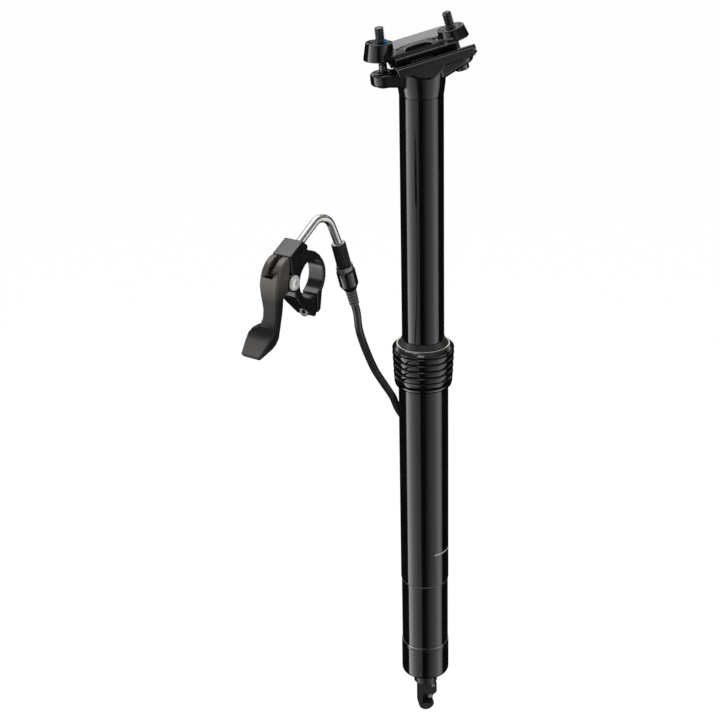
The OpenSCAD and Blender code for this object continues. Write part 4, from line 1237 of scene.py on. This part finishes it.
@dataclass
class HandlebarRemote:
    """The clamp, thumb lever, cable tube and adjuster."""

    noodle_start: Point = (1.3, -3.8, 22.4)
    leg_tilt: float = 161.8
    leg_turn: float = 41.2
    leg_len: float = 21.4
    bend_r: float = 7.5
    bend_steps: int = 32
    in_clamp: float = 6.0
    in_barrel: float = 3.0
    noodle_d: float = 4.6
    pivot_at: Point = (5.0, -16.1, 3.1)
    dome: Profile = (
        (1.35, 0.1), (1.45, 1.45), (1.75, 1.74), (2.5, 1.68), (3.25, 1.4), (3.85, 0.95), (4.22, 0.4),
        (4.3, 0.0), (2.45, -0.01),
    )
    shank_r: float = 2.45
    shank_edge: float = 0.3
    washer: Profile = ((2.5, -0.1), (3.45, -0.1), (3.6, 0.05), (3.6, 0.5), (2.5, 0.5))

    def noodle_path(self) -> list[Vector]:
        """Gives the cable tube's centreline: a leg, a bend and a leg.

        Returns:
            The points, in metres.
        """
        start, end = Vector(self.noodle_start), Vector(REMOTE.adjuster_top)
        leg = heading(self.leg_tilt, self.leg_turn)
        corner = end - self.leg_len * leg
        first = (corner - start).normalized()
        bend = math.acos(leg.dot(first))
        begin = start + ((corner - start).length - self.bend_r * math.tan(bend / 2)) * first
        inward = (leg - leg.dot(first) * first).normalized()
        points = [start - self.in_clamp * first]
        for k in range(self.bend_steps + 1):
            a = k * bend / self.bend_steps
            points.append(begin + self.bend_r * ((1 - math.cos(a)) * inward + math.sin(a) * first))
        points.append(end + self.in_barrel * leg)
        return [REMOTE.place() @ (p * MM) for p in points]

    def pivot(self) -> None:
        """Turns the pivot screw with its domed head and its socket."""
        across = Matrix.Rotation(math.pi / 2, 4, "Y")
        place = REMOTE.place() @ Matrix.Translation(mm(self.pivot_at)) @ across
        foot = -2 * self.pivot_at[0]
        shank = ((self.shank_r, foot + self.shank_edge), (self.shank_r - self.shank_edge, foot))
        piece = Bench.turned("domed_pivot_screw", self.dome + shank, 40.0, 48, place, bored=False)
        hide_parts("pivot_screw")
        Bench.dress(piece, BRIGHT_ZINC, "post_body")

    def barrel_top(self) -> None:
        """Turns the bright washer round the cable tube, on top of the adjuster's barrel."""
        place = Matrix.Translation(REMOTE.top()) @ REMOTE.axis().to_matrix().to_4x4()
        washer = Bench.turned("barrel_washer", self.washer, 30.0, 48, place)
        Bench.dress(washer, TURNED_ALUMINIUM, "adjuster")

    def build(self) -> None:
        """Makes and dresses the remote."""
        clamp = Bench.twin("remote_clamp", "blasted_clamp")
        Bench.forged(clamp, grid=0.32, rounds=3)
        Bench.dress(clamp, BLASTED_DARK, "post_body")
        self.pivot()
        lever = Bench.twin("thumb_lever", "blasted_lever", flat=1.0, join=0.05)
        Bench.soften(lever, width=0.9, segments=4, degrees=50.0, clamp=False)
        # The lever's finish paints highlights on its top and on its paddle's lower end.
        Bench.dress(lever, BLASTED_GREY_HIGHLIT, "remote_lever")
        noodle = Bench.swept("bent_cable_tube", self.noodle_path(), self.noodle_d / 2, 7)
        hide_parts("cable_noodle")
        Bench.dress(noodle, PLAIN_STEEL, "post_body")
        self.barrel_top()
        Bench.paint({
            "clamp_screw": BLACK_STEEL, "pivot_bush": TURNED_BRASS,
            "lever_cable_barrel": MACHINED_BLACK, "adjuster_barrel": KNURLED_BLACK,
            "adjuster_ring": KNURLED_STEEL, "adjuster_body": FORGED_BLACK, "cable_boot": BOOT_RUBBER,
        })


# Main


def main() -> None:
    """Builds the studio and the sub-assemblies, in order."""
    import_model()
    studio = Studio()
    studio.camera()
    CableHousing().build()
    studio.build()
    for part in (LowerPost(), SlidingPost(), SaddleClamp(), FootActuator(), HandlebarRemote()):
        log.info("building %s", type(part).__name__)
        part.build()


if __name__ == "__main__":
    main()
